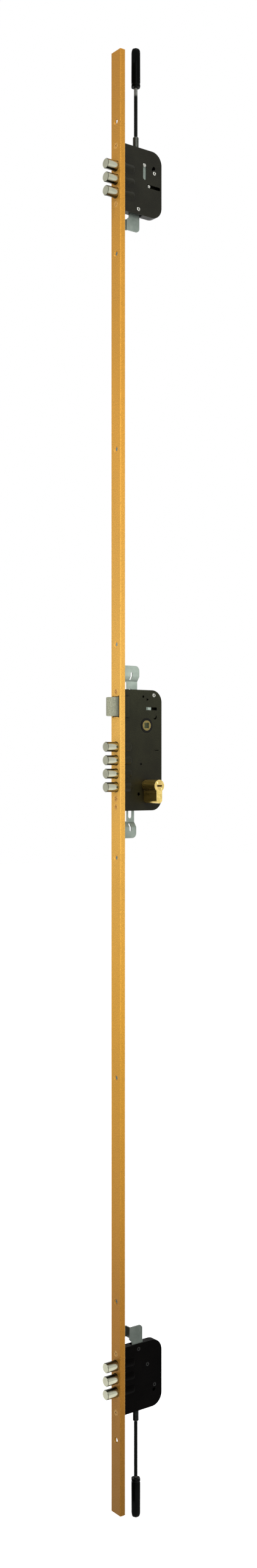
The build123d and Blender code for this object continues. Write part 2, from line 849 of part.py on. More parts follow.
def main_carriage():
    low, high = bolts_z - main_bar_half, bolts_z + main_bar_half
    outline = rect(bar_front_x, bar_rear_x, low, high)
    x0 = bar_rear_x - overrun
    outline += rect(x0, front + backset + rack_end, rack_root, arm_top)
    outline += cam_slot(main_pin_x, upper_pin_z, 1, band_half)
    outline += cam_slot(main_pin_x, lower_pin_z, -1, band_half)
    edge = main_pin_x - throw / 2
    top = main_pin_x - upper_pin_z + high - band_half * math.sqrt(2)
    outline += shape((x0, high), (top, high), (edge, arm_top), (edge, rack_root), (x0, rack_root))
    inner = -throw - pinion_tip - 2 * mouth_gap
    outline += shape((x0, rack_root), (inner, rack_root), (inner, lower_pin_z), (x0, lower_pin_z))
    outline -= passage(0, wheel_z, pinion_tip + slot_end_gap)
    outline -= passage(0, key_z, cam_tip + slot_end_gap)
    outline -= passage(0, 0, hub_radius + slot_end_gap)
    pitch = math.pi * tooth_module
    tilt = math.tan(math.radians(pressure_angle))
    half = (pitch / 2 - tooth_slack) / 2
    depth = tooth_module * rack_tip_share
    rise = rack_root - rack_line
    teeth = math.ceil((throw + pinion_radius) / pitch)
    for count in range(-teeth, 2):
        x = (count + 0.5) * pitch
        tip, foot_half = half - depth * tilt, half + rise * tilt
        outline += shape(
            (x - tip, rack_line - depth),
            (x + tip, rack_line - depth),
            (x + foot_half, rack_root),
            (x + foot_half, rack_root + depth),
            (x - foot_half, rack_root + depth),
            (x - foot_half, rack_root),
        )
    for z in main_bolts:
        outline -= tail_notch(z)
    outline -= cam_slot(main_pin_x, upper_pin_z, 1, slot_half)
    outline -= cam_slot(main_pin_x, lower_pin_z, -1, slot_half)
    return slab(outline, -mid_half, mid_half)


def main_pin(z):
    return along_y(-mid_half, plate_far, cam_pin_radius, main_pin_x, z)


lobe_shift = 2 * plate_near
lower_neck_x1 = plate_a_x1 - lower_neck_step


def joggled(z_plain, z_bend, z_end, way):
    """Plate bent across: flat by the tray, then stepped over to the near side."""
    drop = math.atan2(lobe_shift, joggle_run)
    nudge = plate_thickness * math.tan(drop / 2) * way
    z_over = z_bend + way * joggle_run
    points = [
        (plate_near, z_plain),
        (plate_far, z_plain),
        (plate_far, z_bend + nudge),
        (plate_far - lobe_shift, z_over + nudge),
        (plate_far - lobe_shift, z_end),
        (plate_near - lobe_shift, z_end),
        (plate_near - lobe_shift, z_over),
        (plate_near, z_bend),
    ]
    return extrude(Plane.YZ * shape(*points), reach, both=True)


def upper_plate():
    bottom = upper_pin_z - cam_pin_radius - slot_wall - wide_gap
    bend = main_top + joggle_start
    lobe_low = main_top + joggle_start - overrun
    full_low = main_top + throw + mouth_gap / 2
    top = main_top + lobe_top
    inner_x = front + bar_block_depth
    outline = rect(plate_a_x0, plate_a_x1, bottom, top)
    outline += rect(inner_x, plate_a_x0 + overrun, lobe_low, top)
    outline += rect(lobe_x0, inner_x + overrun, full_low, top)
    outline = soften(outline, [(plate_a_x1, top)], lobe_corner)
    x = front + lobe_slot_depth
    z0 = lobe_low + lobe_slot_from_edge
    outline -= track(x, z0, x, z0 + lobe_slot_length, lobe_slot_radius)
    half = guide_pin_radius + wide_gap
    z0 = upper_guide_z - slot_end_gap
    outline -= track(guide_x, z0, guide_x, upper_guide_z + throw + slot_end_gap, half)
    body = joggled(bottom, bend, top, 1) & slab(outline, -half_strip, half_strip)
    body += block(lobe_x0, lobe_x0 + plate_thickness, -plate_near, foot_far, full_low, top)
    body += block(lobe_x0, front + main_foot_depth, foot_near, foot_far, full_low, top)
    for z in upper_rivets:
        body -= through(rivet_x, z, bar_rivet_radius + seat_gap) & block(
            lobe_x0, case_rear, foot_near - overrun, half_strip, full_low, top
        )
    return body - through(main_pin_x, upper_pin_z, cam_pin_radius + seat_gap)


def lower_plate():
    top = lower_pin_z + cam_pin_radius + slot_wall + wide_gap
    bend = main_bottom - lower_joggle_start
    lobe_high = bend + overrun
    full_high = main_bottom - throw - mouth_gap / 2
    bottom = main_bottom - lobe_bottom
    inner_x = front + bar_block_depth
    wide_low = key_z - lower_neck_below_key
    outline = rect(plate_a_x0, lower_neck_x1, bottom, top)
    outline += rect(plate_a_x0, plate_a_x1, wide_low, top)
    outline += rect(inner_x, plate_a_x0 + overrun, bottom, lobe_high)
    outline += rect(lobe_x0, inner_x + overrun, bottom, full_high)
    outline = soften(outline, [(lower_neck_x1, bottom)], lobe_corner)
    x = front + lower_lobe_slot_depth
    z0 = lobe_high - lobe_slot_from_edge
    outline -= track(x, z0, x, z0 - lobe_slot_length, lobe_slot_radius)
    half = guide_pin_radius + wide_gap
    z0 = lower_guide_z + slot_end_gap
    outline -= track(guide_x, z0, guide_x, lower_guide_z - throw - slot_end_gap, half)
    body = joggled(top, bend, bottom, -1) & slab(outline, -half_strip, half_strip)
    body += block(lobe_x0, lobe_x0 + plate_thickness, -plate_near, foot_far, bottom, full_high)
    body += block(lobe_x0, front + main_foot_depth, foot_near, foot_far, bottom, full_high)
    for z in lower_rivets:
        body -= through(rivet_x, z, bar_rivet_radius + seat_gap) & block(
            lobe_x0, case_rear, foot_near - overrun, half_strip, bottom, full_high
        )
    return body - through(main_pin_x, lower_pin_z, cam_pin_radius + seat_gap)


rivet_x = front + bar_rivet_depth
upper_rivets = [main_top + lobe_top - bar_rivet_from_end, main_top + lobe_top - second_rivet_share * bar_rivet_from_end]
lower_rivets = [main_bottom - lobe_bottom + bar_rivet_from_end, main_bottom - lobe_bottom + second_rivet_share * bar_rivet_from_end]


# Gear drive.
def wheel():
    disc_part = slab(gear_outline(wheel_teeth, wheel_tip, wheel_root, -90 + 180 / wheel_teeth), gear_near, gear_far)
    spur = slab(gear_outline(pinion_teeth, pinion_tip, pinion_root, 90), gear_far, mid_half)
    body = Pos(0, 0, wheel_z) * (disc_part + spur)
    return body - through(0, wheel_z, stud_radius + seat_gap)


wheel_root = cam_radius + wheel_radius - cam_tip - tooth_tip_gap
cam_root = cam_radius + wheel_radius - wheel_tip - tooth_tip_gap
pinion_root = pinion_radius - tooth_module * rack_tip_share - tooth_tip_gap


def wheel_stud():
    body = along_y(-inner_half + layer_gap, mid_half + layer_gap, stud_radius, 0, wheel_z)
    body += along_y(mid_half + layer_gap, inner_half, stud_flange_radius, 0, wheel_z)
    body += along_y(inner_half, outer_half, post_radius, 0, wheel_z)
    return body + along_y(outer_half, outer_half + post_head_height, post_head_radius, 0, wheel_z)


cam_half = cylinder_gap / 2 - 2 * wide_gap


def cam_gear():
    body = Pos(0, 0, key_z) * slab(gear_outline(cam_teeth, cam_tip, cam_root, 90), -cam_half, cam_half)
    return body - through(0, key_z, plug_nose_radius + seat_gap)


def cylinder():
    body = slab(euro_profile(0), -cylinder_half_length, cylinder_half_length)
    half = cylinder_gap / 2
    bridge = key_z - cylinder_bridge_below_key
    body -= block(-profile_height, profile_height, -half, half, bridge, key_z + profile_height)
    body -= through(0, key_z, plug_radius + running_gap)
    return body - along_x(-profile_radius, profile_tail_width, cylinder_screw_radius + seat_gap, 0, cylinder_screw_z)


def plug(side):
    near = cylinder_gap / 2 - wide_gap
    far = cylinder_half_length + plug_proud
    nose = layer_gap
    half_w, half_h = key_slot_width / 2, key_slot_height / 2
    body = along_y(near, far, plug_radius, 0, key_z)
    body += along_y(nose, near, plug_nose_radius, 0, key_z)
    slot = block(-half_h, half_h, far - key_slot_depth, far + overrun, key_z - half_w, key_z + half_w)
    body -= slot
    return body if side > 0 else mirror(body, Plane.XZ)


# Spindle hub and latch.
def hub():
    body = along_y(-inner_half + wide_gap, inner_half - wide_gap, hub_radius, 0, 0)
    end = outer_half + collar_rise
    body += along_y(-end, end, hub_end_radius, 0, 0)
    lean = math.radians(lever_swing / 2)
    tip_x, tip_z = -lever_radius * math.sin(lean), lever_radius * math.cos(lean)
    lever = track(0, 0, tip_x, tip_z, lever_neck_half) + disc(tip_x, tip_z, lever_tip_radius)
    body += slab(lever, gear_near, gear_far)
    half = spindle_square / 2
    body -= block(-half, half, -reach, reach, -half, half)
    return body - along_y(-end - overrun, -end + overrun, hub_notch_radius, 0, hub_end_radius)


def latch():
    y = latch_width / 2
    nose = front - latch_reach
    outline = shape(
        (latch_rear, -y),
        (front, -y),
        (nose, y - latch_flat),
        (nose, y),
        (latch_rear, y),
    )
    body = rise(outline, latch_low, latch_high)
    tips = [edge for edge in body.edges().filter_by(Axis.Y) if edge.center().X < front]
    body = fillet(tips, latch_corner)
    return body


def latch_tail():
    x1 = latch_rear + latch_tail_length
    outline = rect(latch_rear, x1, latch_tail_low, latch_tail_high)
    outline += rect(hook_x, x1, hook_low, latch_tail_high)
    outline = soften(outline, [(x1, latch_tail_high), (x1, hook_low)], latch_corner)
    body = slab(outline, gear_near, gear_far)
    x0 = hook_x + lug_from_hook
    z0 = latch_tail_low + lug_rise
    return body + block(x0, x0 + lug_length, flush_near, gear_near, z0, z0 + lug_height)


def latch_spring():
    length = anchor_x - latch_rear - 2 * wide_gap
    coil = Helix(length / spring_turns, length - 2 * spring_wire_radius, spring_radius)
    wire = sweep(Plane(origin=coil @ 0, z_dir=coil % 0) * Circle(spring_wire_radius), path=coil)
    x0 = latch_rear + wide_gap + spring_wire_radius
    return Pos(x0, -wide_gap, spring_height) * Rot(0, 90, 0) * wire


# Strip, screws and blocks.
def screw(z, shank, length):
    body = cone_x(front, web_rear, shank * screw_head_radius / screw_radius, shank, z)
    return body + along_x(web_rear, length, shank, 0, z)


def screw_hole(z, shank):
    wide = shank * screw_head_radius / screw_radius
    hole = cone_x(front, web_rear, wide + screw_gap, shank + screw_gap, z)
    hole += along_x(front - overrun, front, wide + screw_gap, 0, z)
    return hole + along_x(web_rear, web_rear + overrun, shank + screw_gap, 0, z)


def faceplate():
    outline = rect(front, flange_rear, -half_strip, half_strip)
    outline = soften(outline, [(front, -half_strip), (front, half_strip)], strip_bend)
    outline -= rect(web_rear, flange_rear + overrun, -half_inside, half_inside)
    body = rise(outline, strip_bottom, strip_top)
    cuts = []
    bolts = main_bolts + [upper_z + z for z in side_bolts] + [lower_z + z for z in side_bolts]
    for z in bolts:
        cuts.append(along_x(front - overrun, web_rear + overrun, bolt_radius + bolt_hole_gap, 0, z))
    y = latch_width / 2 + latch_hole_gap
    low, high = latch_low - latch_hole_gap, latch_high + latch_hole_gap
    cuts.append(block(front - overrun, web_rear + overrun, -y, y, low, high))
    for side in (-1, 1):
        for z in (low, high):
            y_relief = side * (y - latch_hole_relief)
            cuts.append(along_x(front - overrun, web_rear + overrun, latch_hole_relief, y_relief, z))
    sink = fixing_sink_radius - fixing_hole_radius
    for z in fixing_heights:
        cuts.append(along_x(front - overrun, web_rear + overrun, fixing_hole_radius, 0, z))
        cuts.append(cone_x(front, front + sink, fixing_sink_radius, fixing_hole_radius, z))
    for z in screw_heights:
        cuts.append(screw_hole(z, screw_radius))
    cuts.append(screw_hole(cylinder_screw_z, cylinder_screw_radius))
    for cut in cuts:
        body -= cut
    return body


def fixing_block(z, height, drilled):
    half = block_width / 2
    body = block(block_front, block_rear, -half, half, z - height / 2, z + height / 2)
    if drilled:
        body -= along_x(block_front - overrun, block_rear + overrun, screw_radius + seat_gap, 0, z)
    return body


def bar(z0, z1, rivets):
    outline = rect(bar_x0, bar_x1, z0, z1)
    body = slab(outline, foot_far, bar_far)
    for x, z in rivets:
        body -= through(x, z, bar_rivet_radius + seat_gap)
    return body


os.makedirs("parts", exist_ok=True)

save(faceplate(), "faceplate")
save(group([screw(z, screw_radius, block_rear + wide_gap) for z in screw_heights]), "case_screws")
save(screw(cylinder_screw_z, cylinder_screw_radius, profile_tail_width / 4), "cylinder_screw")
spare = fixing_block(-spare_block_drop, spare_block_height, False)
save(group([fixing_block(z, block_height, True) for z in screw_heights] + [spare]), "fixing_blocks")

upper_low = upper_z + low_end - tab_plate_length
lower_high = lower_z - low_end + tab_plate_length + lower_tab_extra
plain_x1 = tab_x + plate_thickness
upper_foot_z = upper_low + tab_height
lower_foot_z = lower_high - tab_height
side_rivet_xs = (bar_x0 + bar_rivet_from_end, bar_x1 - bar_rivet_from_end)
upper_foot_rivets = [(x, (upper_low + upper_foot_z) / 2) for x in side_rivet_xs]
lower_foot_rivets = [(x, (lower_high + lower_foot_z) / 2) for x in side_rivet_xs]
upper_bar_rivets = [(rivet_x, z) for z in upper_rivets] + upper_foot_rivets
lower_bar_rivets = [(rivet_x, z) for z in lower_rivets] + lower_foot_rivets

upper_place = Pos(0, 0, upper_z)
lower_place = Pos(0, 0, lower_z) * Rot(180, 0, 0)

upper_drive = upper_place * side_plate(0)
upper_drive += foot(plate_near, upper_low, upper_foot_z, tab_x, plain_x1, plain_x1)
lower_drive = lower_place * side_plate(lower_tab_extra)
lower_drive += foot(-plate_far, lower_foot_z, lower_high, tab_x, plain_x1, plain_x1)
for x, z in upper_foot_rivets:
    upper_drive -= through(x, z, bar_rivet_radius + seat_gap)
for x, z in lower_foot_rivets:
    lower_drive -= through(x, z, bar_rivet_radius + seat_gap)

cover, tray, posts, carriage = side_cover(), side_tray(), side_posts(), side_carriage()
for name, place in (("upper", upper_place), ("lower", lower_place)):
    save(place * tray, name + "_case_tray")
    save(place * cover, name + "_case_cover")
    save(place * posts, name + "_case_rivets")
    save(place * carriage, name + "_carriage")
    for number, z in enumerate(side_bolts, 1):
        save(place * bolt(z, False), name + "_bolt_" + str(number))
    save(place * side_carriage_pin(), name + "_carriage_pin")
    save(place * side_drive_pin(), name + "_drive_pin")
    save(place * side_sleeve(), name + "_coupling_sleeve")

save(upper_drive, "upper_drive_plate")
save(lower_drive, "lower_drive_plate")
upper_rivet_set = [bar_rivet(x, z) for x, z in upper_bar_rivets] + [upper_place * lap_rivet()]
lower_rivet_set = [bar_rivet(x, z) for x, z in lower_bar_rivets] + [lower_place * lap_rivet()]
save(group(upper_rivet_set), "upper_drive_rivets")
save(group(lower_rivet_set), "lower_drive_rivets")
bar_low = main_top + throw + mouth_gap
bar_high = main_bottom - throw + mouth_gap / 2
save(bar(bar_low, upper_foot_z, upper_bar_rivets), "upper_connecting_bar")
save(bar(lower_foot_z, bar_high, lower_bar_rivets), "lower_connecting_bar")

upper_tip = strip_top + cap_past_upper_end
lower_tip = strip_bottom - cap_past_lower_end
sleeve_end = sleeve_high - socket_depth + layer_gap
inside_cap = cap_length - socket_depth + layer_gap
save(rod(upper_z + sleeve_end, upper_tip - inside_cap), "upper_rod")
save(rod(lower_tip + inside_cap, lower_z - sleeve_end), "lower_rod")
save(cap(upper_tip - cap_length, upper_tip, 1), "upper_rod_cap")
save(cap(lower_tip, lower_tip + cap_length, -1), "lower_rod_cap")

save(main_tray(), "main_case_tray")
save(main_cover(), "main_case_cover")
save(group([post(main_post_x, main_post_z), post(lower_post_x, lower_post_z)]), "main_case_rivets")
save(main_carriage(), "main_carriage")
for number, z in enumerate(main_bolts, 1):
    save(bolt(z, True), "main_bolt_" + str(number))
save(upper_plate(), "upper_main_plate")
save(main_pin(upper_pin_z), "upper_main_pin")
save(lower_plate(), "lower_main_plate")
save(main_pin(lower_pin_z), "lower_main_pin")
guides = [guide_pin(guide_x, z, guide_pin_radius) for z in (upper_guide_z, lower_guide_z)]
save(group(guides), "plate_guide_pins")
save(wheel(), "reduction_gear")
save(wheel_stud(), "gear_stud")
save(cam_gear(), "cam_gear")
save(cylinder(), "cylinder_body")
save(plug(-1), "plug_outside")
save(plug(1), "plug_inside")
save(hub(), "spindle_hub")
save(latch(), "latch_bolt")
save(latch_tail(), "latch_tail")
save(latch_spring(), "latch_spring")
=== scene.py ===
import math

import bpy
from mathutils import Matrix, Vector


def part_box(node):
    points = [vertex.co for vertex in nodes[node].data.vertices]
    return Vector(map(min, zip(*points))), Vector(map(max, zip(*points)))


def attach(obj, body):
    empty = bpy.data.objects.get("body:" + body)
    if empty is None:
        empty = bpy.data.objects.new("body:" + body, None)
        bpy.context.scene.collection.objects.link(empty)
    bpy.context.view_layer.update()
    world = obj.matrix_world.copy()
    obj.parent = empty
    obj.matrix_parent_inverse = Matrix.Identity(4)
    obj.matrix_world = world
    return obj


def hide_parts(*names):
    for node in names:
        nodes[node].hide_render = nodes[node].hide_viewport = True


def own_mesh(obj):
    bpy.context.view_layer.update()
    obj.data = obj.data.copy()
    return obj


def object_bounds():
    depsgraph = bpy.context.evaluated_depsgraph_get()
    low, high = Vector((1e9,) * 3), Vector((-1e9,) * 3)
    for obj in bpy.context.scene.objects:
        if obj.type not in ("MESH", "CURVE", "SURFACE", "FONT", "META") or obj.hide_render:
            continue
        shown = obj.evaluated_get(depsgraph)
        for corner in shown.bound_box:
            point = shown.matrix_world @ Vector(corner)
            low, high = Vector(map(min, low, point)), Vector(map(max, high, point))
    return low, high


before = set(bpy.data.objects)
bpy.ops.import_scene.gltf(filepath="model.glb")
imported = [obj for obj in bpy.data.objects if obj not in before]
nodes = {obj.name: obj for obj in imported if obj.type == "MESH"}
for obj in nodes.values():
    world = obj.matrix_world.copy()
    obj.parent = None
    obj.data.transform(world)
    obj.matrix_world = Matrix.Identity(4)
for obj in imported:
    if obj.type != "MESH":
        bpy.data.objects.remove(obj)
cad_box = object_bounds()

# The camera stands level beside the door's edge, a little above the middle of the lock's length,
# and looks across the faceplate at the near side of the cases.
camera_data = bpy.data.cameras.new("camera")
camera = bpy.data.objects.new("camera", camera_data)
bpy.context.scene.collection.objects.link(camera)
camera.location = (-1.284, -1.675, -0.0586)
camera.rotation_euler = (math.radians(90), 0, math.radians(-36.87))
camera_data.sensor_fit = "VERTICAL"
camera_data.sensor_height = 36.0
camera_data.lens = 34.25
camera_data.shift_y = -0.01087
bpy.context.scene.camera = camera
bpy.context.scene.view_settings.view_transform = "Standard"

# The faceplate is one long strip folded to a shallow channel. It is steel with a gilt lacquer, which has a fine grain
# and shows bare bright metal on its sharp edges. Its colour is painted light and shade along its length: darker toward
# both ends, brightest round the main case.


def shader(name):
    """An empty material: itself, its nodes and its main shader."""
    material = bpy.data.materials.new(name)
    material.use_nodes = True
    tree = material.node_tree
    return material, tree, tree.nodes["Principled BSDF"]


def place(tree, stretch=(1, 1, 1), centre=(0, 0, 0)):
    """Object coordinates, centred and stretched."""
    where = tree.nodes.new("ShaderNodeTexCoord")
    mapping = tree.nodes.new("ShaderNodeMapping")
    mapping.vector_type = "POINT"
    mapping.inputs["Scale"].default_value = stretch
    mapping.inputs["Location"].default_value = [-c * s for c, s in zip(centre, stretch)]
    tree.links.new(where.outputs["Object"], mapping.inputs["Vector"])
    return mapping.outputs["Vector"]


def apart(tree, vector):
    """The X, Y and Z of a vector."""
    split = tree.nodes.new("ShaderNodeSeparateXYZ")
    tree.links.new(vector, split.inputs[0])
    return split.outputs


def share(tree, value, low, high):
    """How far a value lies from low, at 0, to high, at 1."""
    span = tree.nodes.new("ShaderNodeMapRange")
    span.inputs["From Min"].default_value = low
    span.inputs["From Max"].default_value = high
    tree.links.new(value, span.inputs["Value"])
    return span.outputs["Result"]


def number(tree, operation, *values):
    """One sum on sockets and plain numbers."""
    step = tree.nodes.new("ShaderNodeMath")
    step.operation = operation
    for socket, value in zip(step.inputs, values):
        if isinstance(value, (int, float)):
            socket.default_value = value
        else:
            tree.links.new(value, socket)
    return step.outputs[0]


def vector_step(tree, operation, result, *vectors):
    """One sum on vectors, and which of its results to take."""
    step = tree.nodes.new("ShaderNodeVectorMath")
    step.operation = operation
    for socket, vector in zip(step.inputs, vectors):
        tree.links.new(vector, socket)
    return step.outputs[result]


def grain(tree, vector, scale, detail=4.0, roughness=0.6):
    """Fine irregular texture from 0 to 1."""
    noise = tree.nodes.new("ShaderNodeTexNoise")
    noise.inputs["Scale"].default_value = scale
    noise.inputs["Detail"].default_value = detail
    noise.inputs["Roughness"].default_value = roughness
    tree.links.new(vector, noise.inputs["Vector"])
    return noise.outputs["Fac"]


def ramp(tree, value, stops):
    """Colours or greys by value."""
    band = tree.nodes.new("ShaderNodeValToRGB")
    while len(band.color_ramp.elements) < len(stops):
        band.color_ramp.elements.new(0.5)
    for element, (at, colour) in zip(band.color_ramp.elements, stops):
        element.position = at
        element.color = (*colour, 1) if isinstance(colour, tuple) else (colour, colour, colour, 1)
    tree.links.new(value, band.inputs["Fac"])
    return band.outputs["Color"]


def mottled(tree, scale, low, high, stretch=(1, 1, 1)):
    """Fine texture between two colours or greys."""
    return ramp(tree, grain(tree, place(tree, stretch), scale), ((0.3, low), (0.7, high)))


def mixed(tree, amount, a, b, how="MIX"):
    """Two colours mixed by an amount, each a socket or a plain colour."""
    mix = tree.nodes.new("ShaderNodeMix")
    mix.data_type = "RGBA"
    mix.blend_type = how
    for socket, value in ((mix.inputs[0], amount), (mix.inputs[6], a), (mix.inputs[7], b)):
        if isinstance(value, (int, float)):
            socket.default_value = value
        elif isinstance(value, tuple):
            socket.default_value = (*value, 1)
        else:
            tree.links.new(value, socket)
    return mix.outputs[2]


def multiplied(tree, colour, *others):
    """Colours multiplied together."""
    for other in others:
        colour = mixed(tree, 1.0, colour, other, "MULTIPLY")
    return colour


def edges(tree, radius, first=0.02, last=0.16):
    """1 along sharp edges within the radius, 0 elsewhere."""
    bevel = tree.nodes.new("ShaderNodeBevel")
    bevel.samples = 4
    bevel.inputs["Radius"].default_value = radius
    geometry = tree.nodes.new("ShaderNodeNewGeometry")
    alike = vector_step(tree, "DOT_PRODUCT", "Value", bevel.outputs["Normal"], geometry.outputs["Normal"])
    return ramp(tree, number(tree, "SUBTRACT", 1.0, alike), ((first, 0.0), (last, 1.0)))


def surface(tree, bsdf, colour, metallic, roughness, gloss=0.5):
    """A shader's colour, metal, roughness and gloss, each a socket or a plain number."""
    settings = (("Base Color", colour), ("Metallic", metallic), ("Roughness", roughness), ("Specular IOR Level", gloss))
    for name, value in settings:
        if isinstance(value, (int, float)):
            bsdf.inputs[name].default_value = value
        else:
            tree.links.new(value, bsdf.inputs[name])


def bump(tree, bsdf, height, strength, distance):
    """Relief from a height."""
    relief = tree.nodes.new("ShaderNodeBump")
    relief.inputs["Strength"].default_value = strength
    relief.inputs["Distance"].default_value = distance
    tree.links.new(height, relief.inputs["Height"])
    tree.links.new(relief.outputs["Normal"], bsdf.inputs["Normal"])


def dress(material, *names):
    """Give a finish to CAD nodes."""
    for name in names:
        for place_of_finish in nodes[name].material_slots:
            place_of_finish.material = material


strip_low, strip_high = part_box("faceplate")
gilt, tree, bsdf = shader("gilt_lacquer")
# Painted light and shade: the gilt is darkened toward both ends of the strip and brightest round the main case.
painted_light_by_height = ramp(tree, share(tree, apart(tree, place(tree))["Z"], low=strip_low.z, high=strip_high.z), (
    (0.0, (0.258, 0.116, 0.011)), (0.14, (0.43, 0.188, 0.019)), (0.34, (0.77, 0.385, 0.045)),
    (0.54, (1.00, 0.560, 0.115)), (0.74, (0.84, 0.415, 0.062)), (0.88, (0.68, 0.325, 0.043)),
    (1.0, (0.55, 0.250, 0.032))))
speckle = ramp(tree, grain(tree, place(tree), 900.0, detail=3.0), ((0.35, 0.66), (0.64, 1.13)))
cloud = ramp(tree, grain(tree, place(tree, (1, 1, 0.35)), 28.0), ((0.30, 0.93), (0.70, 1.0)))
lacquer = multiplied(tree, painted_light_by_height, speckle, cloud)
surface(tree, bsdf, mixed(tree, edges(tree, radius=0.0005), lacquer, (0.92, 0.66, 0.28)), metallic=0.3,
        roughness=mottled(tree, 60.0, 0.36, 0.46), gloss=0.12)
bump(tree, bsdf, grain(tree, place(tree), 1400.0, detail=2.0), strength=0.12, distance=0.0002)
dress(gilt, "faceplate")

# Countersunk screws with a cross recess hold the three cases to blocks inside the channel, and a longer
# They are steel with the faceplate's gilt, worn brighter on their edges, and painted darker toward the lock's lower end
# as painted shade.


def clear():
    """Nothing selected."""
    if bpy.context.object and bpy.context.object.mode != "OBJECT":
        bpy.ops.object.mode_set(mode="OBJECT")
    bpy.ops.object.select_all(action="DESELECT")


def pick(piece):
    """One piece selected and active."""
    clear()
    piece.select_set(True)
    bpy.context.view_layer.objects.active = piece


def apply_place():
    """The place, turn and size of the selected piece put into its mesh."""
    bpy.ops.object.transform_apply(location=True, rotation=True, scale=True)


def all_in_edit():
    """The active piece open for edits, all of it selected."""
    if bpy.context.object.mode != "EDIT":
        bpy.ops.object.mode_set(mode="EDIT")
    bpy.ops.mesh.select_all(action="SELECT")


def settle(piece, name, body, material):
    """A finished piece: named, placed by its mesh, smooth on its curves, finished, and riding on its body."""
    pick(piece)
    apply_place()
    bpy.ops.object.shade_smooth_by_angle(angle=math.radians(32))
    piece.name = name
    piece.data.name = name
    piece.data.materials.clear()
    piece.data.materials.append(material)
    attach(piece, body)


def box_tool(size, centre):
    """A plain box of a size about a centre."""
    clear()
    bpy.ops.mesh.primitive_cube_add(size=1, location=centre)
    box = bpy.context.object
    box.scale = size
    apply_place()
    return box


def turned(profile, steps=48):
    """A lathe piece about Z from (radius, height) points, closed at its poles."""
    seam = 0.000002
    (first_radius, first_height), *rest = profile
    clear()
    bpy.ops.mesh.primitive_circle_add(vertices=3, radius=0.001, location=(first_radius, 0, first_height))
    piece = bpy.context.object
    apply_place()
    bpy.ops.object.mode_set(mode="EDIT")
    bpy.ops.mesh.select_mode(type="VERT")
    all_in_edit()
    bpy.ops.mesh.merge(type="CENTER")
    for a, b in zip(profile, rest):
        bpy.ops.mesh.extrude_region_move(TRANSFORM_OT_translate={"value": (b[0] - a[0], 0, b[1] - a[1])})
    all_in_edit()
    bpy.ops.mesh.spin(steps=steps, angle=2 * math.pi, center=(0, 0, 0), axis=(0, 0, 1))
    all_in_edit()
    bpy.ops.mesh.remove_doubles(threshold=seam)
    bpy.ops.mesh.normals_make_consistent(inside=False)
    bpy.ops.object.mode_set(mode="OBJECT")
    return piece


def cut(piece, *tools):
    """Take the tools' shapes out of the piece."""
    for tool in tools:
        pick(piece)
        taken = piece.modifiers.new("cut", "BOOLEAN")
        taken.operation = "DIFFERENCE"
        taken.solver = "EXACT"
        taken.object = tool
        bpy.ops.object.modifier_apply(modifier="cut")
        bpy.data.objects.remove(tool)
    return piece


def arm_tool(span, arm, depth, top):
    """One tapered arm of the cross that a driver's tip fits, pointing down from a height."""
    middle = top - depth / 2
    taper = (0.3, 0.6, 1)
    tool = box_tool((span, arm, depth), (0, 0, middle))
    bpy.ops.object.mode_set(mode="EDIT")
    bpy.ops.mesh.select_all(action="DESELECT")
    bpy.ops.object.mode_set(mode="OBJECT")
    for corner in tool.data.vertices:
        corner.select = corner.co.z < middle
    bpy.ops.object.mode_set(mode="EDIT")
    bpy.ops.transform.resize(value=taper, center_override=(0, 0, 0))
    bpy.ops.object.mode_set(mode="OBJECT")
    return tool


def screw_piece(radius, head, length, cone):
    """A screw about Z with its head's face at zero, its thread as shallow rings."""
    pitch = 0.0008
    root = radius * 0.86
    thread_start = cone + 0.0006
    thread_end = length - 0.0008
    profile = [(0, 0), (head - 0.0002, 0), (head, -0.00015), (radius, -cone)]
    for turn in range(int((thread_end - thread_start) / pitch)):
        at = thread_start + turn * pitch
        profile += [(radius, -at), (root, -at - pitch / 2)]
    profile += [(radius * 0.8, -length + 0.0005), (radius * 0.5, -length), (0, -length)]
    piece = turned(profile, steps=40)
    first, second = (arm_tool(span=head * 1.15, arm=head * 0.24, depth=head * 0.6, top=0.0002) for _ in range(2))
    second.rotation_euler = (0, 0, math.pi / 2)
    return cut(piece, first, second)


gilt_screw, tree, bsdf = shader("gilt_screw")
# Painted shade: the screws' gilt darkens toward the lower end of the lock.
painted_light_by_height = ramp(tree, share(tree, apart(tree, place(tree))["Z"], low=-1.0, high=0.0), ((0.05, 0.50), (0.85, 1.0)))
screw_gilt = multiplied(tree, mottled(tree, 700.0, (0.50, 0.25, 0.045), (0.66, 0.35, 0.075)), painted_light_by_height)
worn_gilt = mixed(tree, edges(tree, radius=0.0003, first=0.05, last=0.3), screw_gilt, (0.80, 0.60, 0.30))
surface(tree, bsdf, worn_gilt, metallic=0.8, roughness=mottled(tree, 300.0, 0.24, 0.38))
bump(tree, bsdf, grain(tree, place(tree), 900.0), strength=0.1, distance=0.0001)

screw_sunk = 0.0001
first_turn = 17
turn_between = 23
face_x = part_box("case_screws")[0].x
case_screw_heights = (0.8079, 0.7262, 0.0462, -0.1145, -0.8773, -0.9590)
for count, height in enumerate(case_screw_heights, 1):
    piece = screw_piece(radius=0.00195, head=0.00385, length=0.0084, cone=0.0019)
    piece.rotation_euler = (0, math.radians(-90), 0)
    piece.location = (face_x + screw_sunk, 0, height)
    settle(piece, f"case_screw_{count}", "lock_case", gilt_screw)
    pick(piece)
    all_in_edit()
    turn = math.radians(first_turn + turn_between * count)
    bpy.ops.transform.rotate(value=turn, orient_axis="X", center_override=(0, 0, height))
    bpy.ops.object.mode_set(mode="OBJECT")
    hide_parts("case_screws")

cylinder_screw_height = -0.1029
piece = screw_piece(radius=0.00235, head=0.0047, length=0.0515, cone=0.0023)
piece.rotation_euler = (0, math.radians(-90), 0)
piece.location = (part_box("cylinder_screw")[0].x + screw_sunk, 0, cylinder_screw_height)
settle(piece, "cylinder_fixing_screw", "lock_case", gilt_screw)
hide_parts("cylinder_screw")

# The blocks that the case screws bite into are cut from bright drawn bar and pressed into the channel.
# Saw marks run across their ends. The stud of the reduction wheel is the same bar.

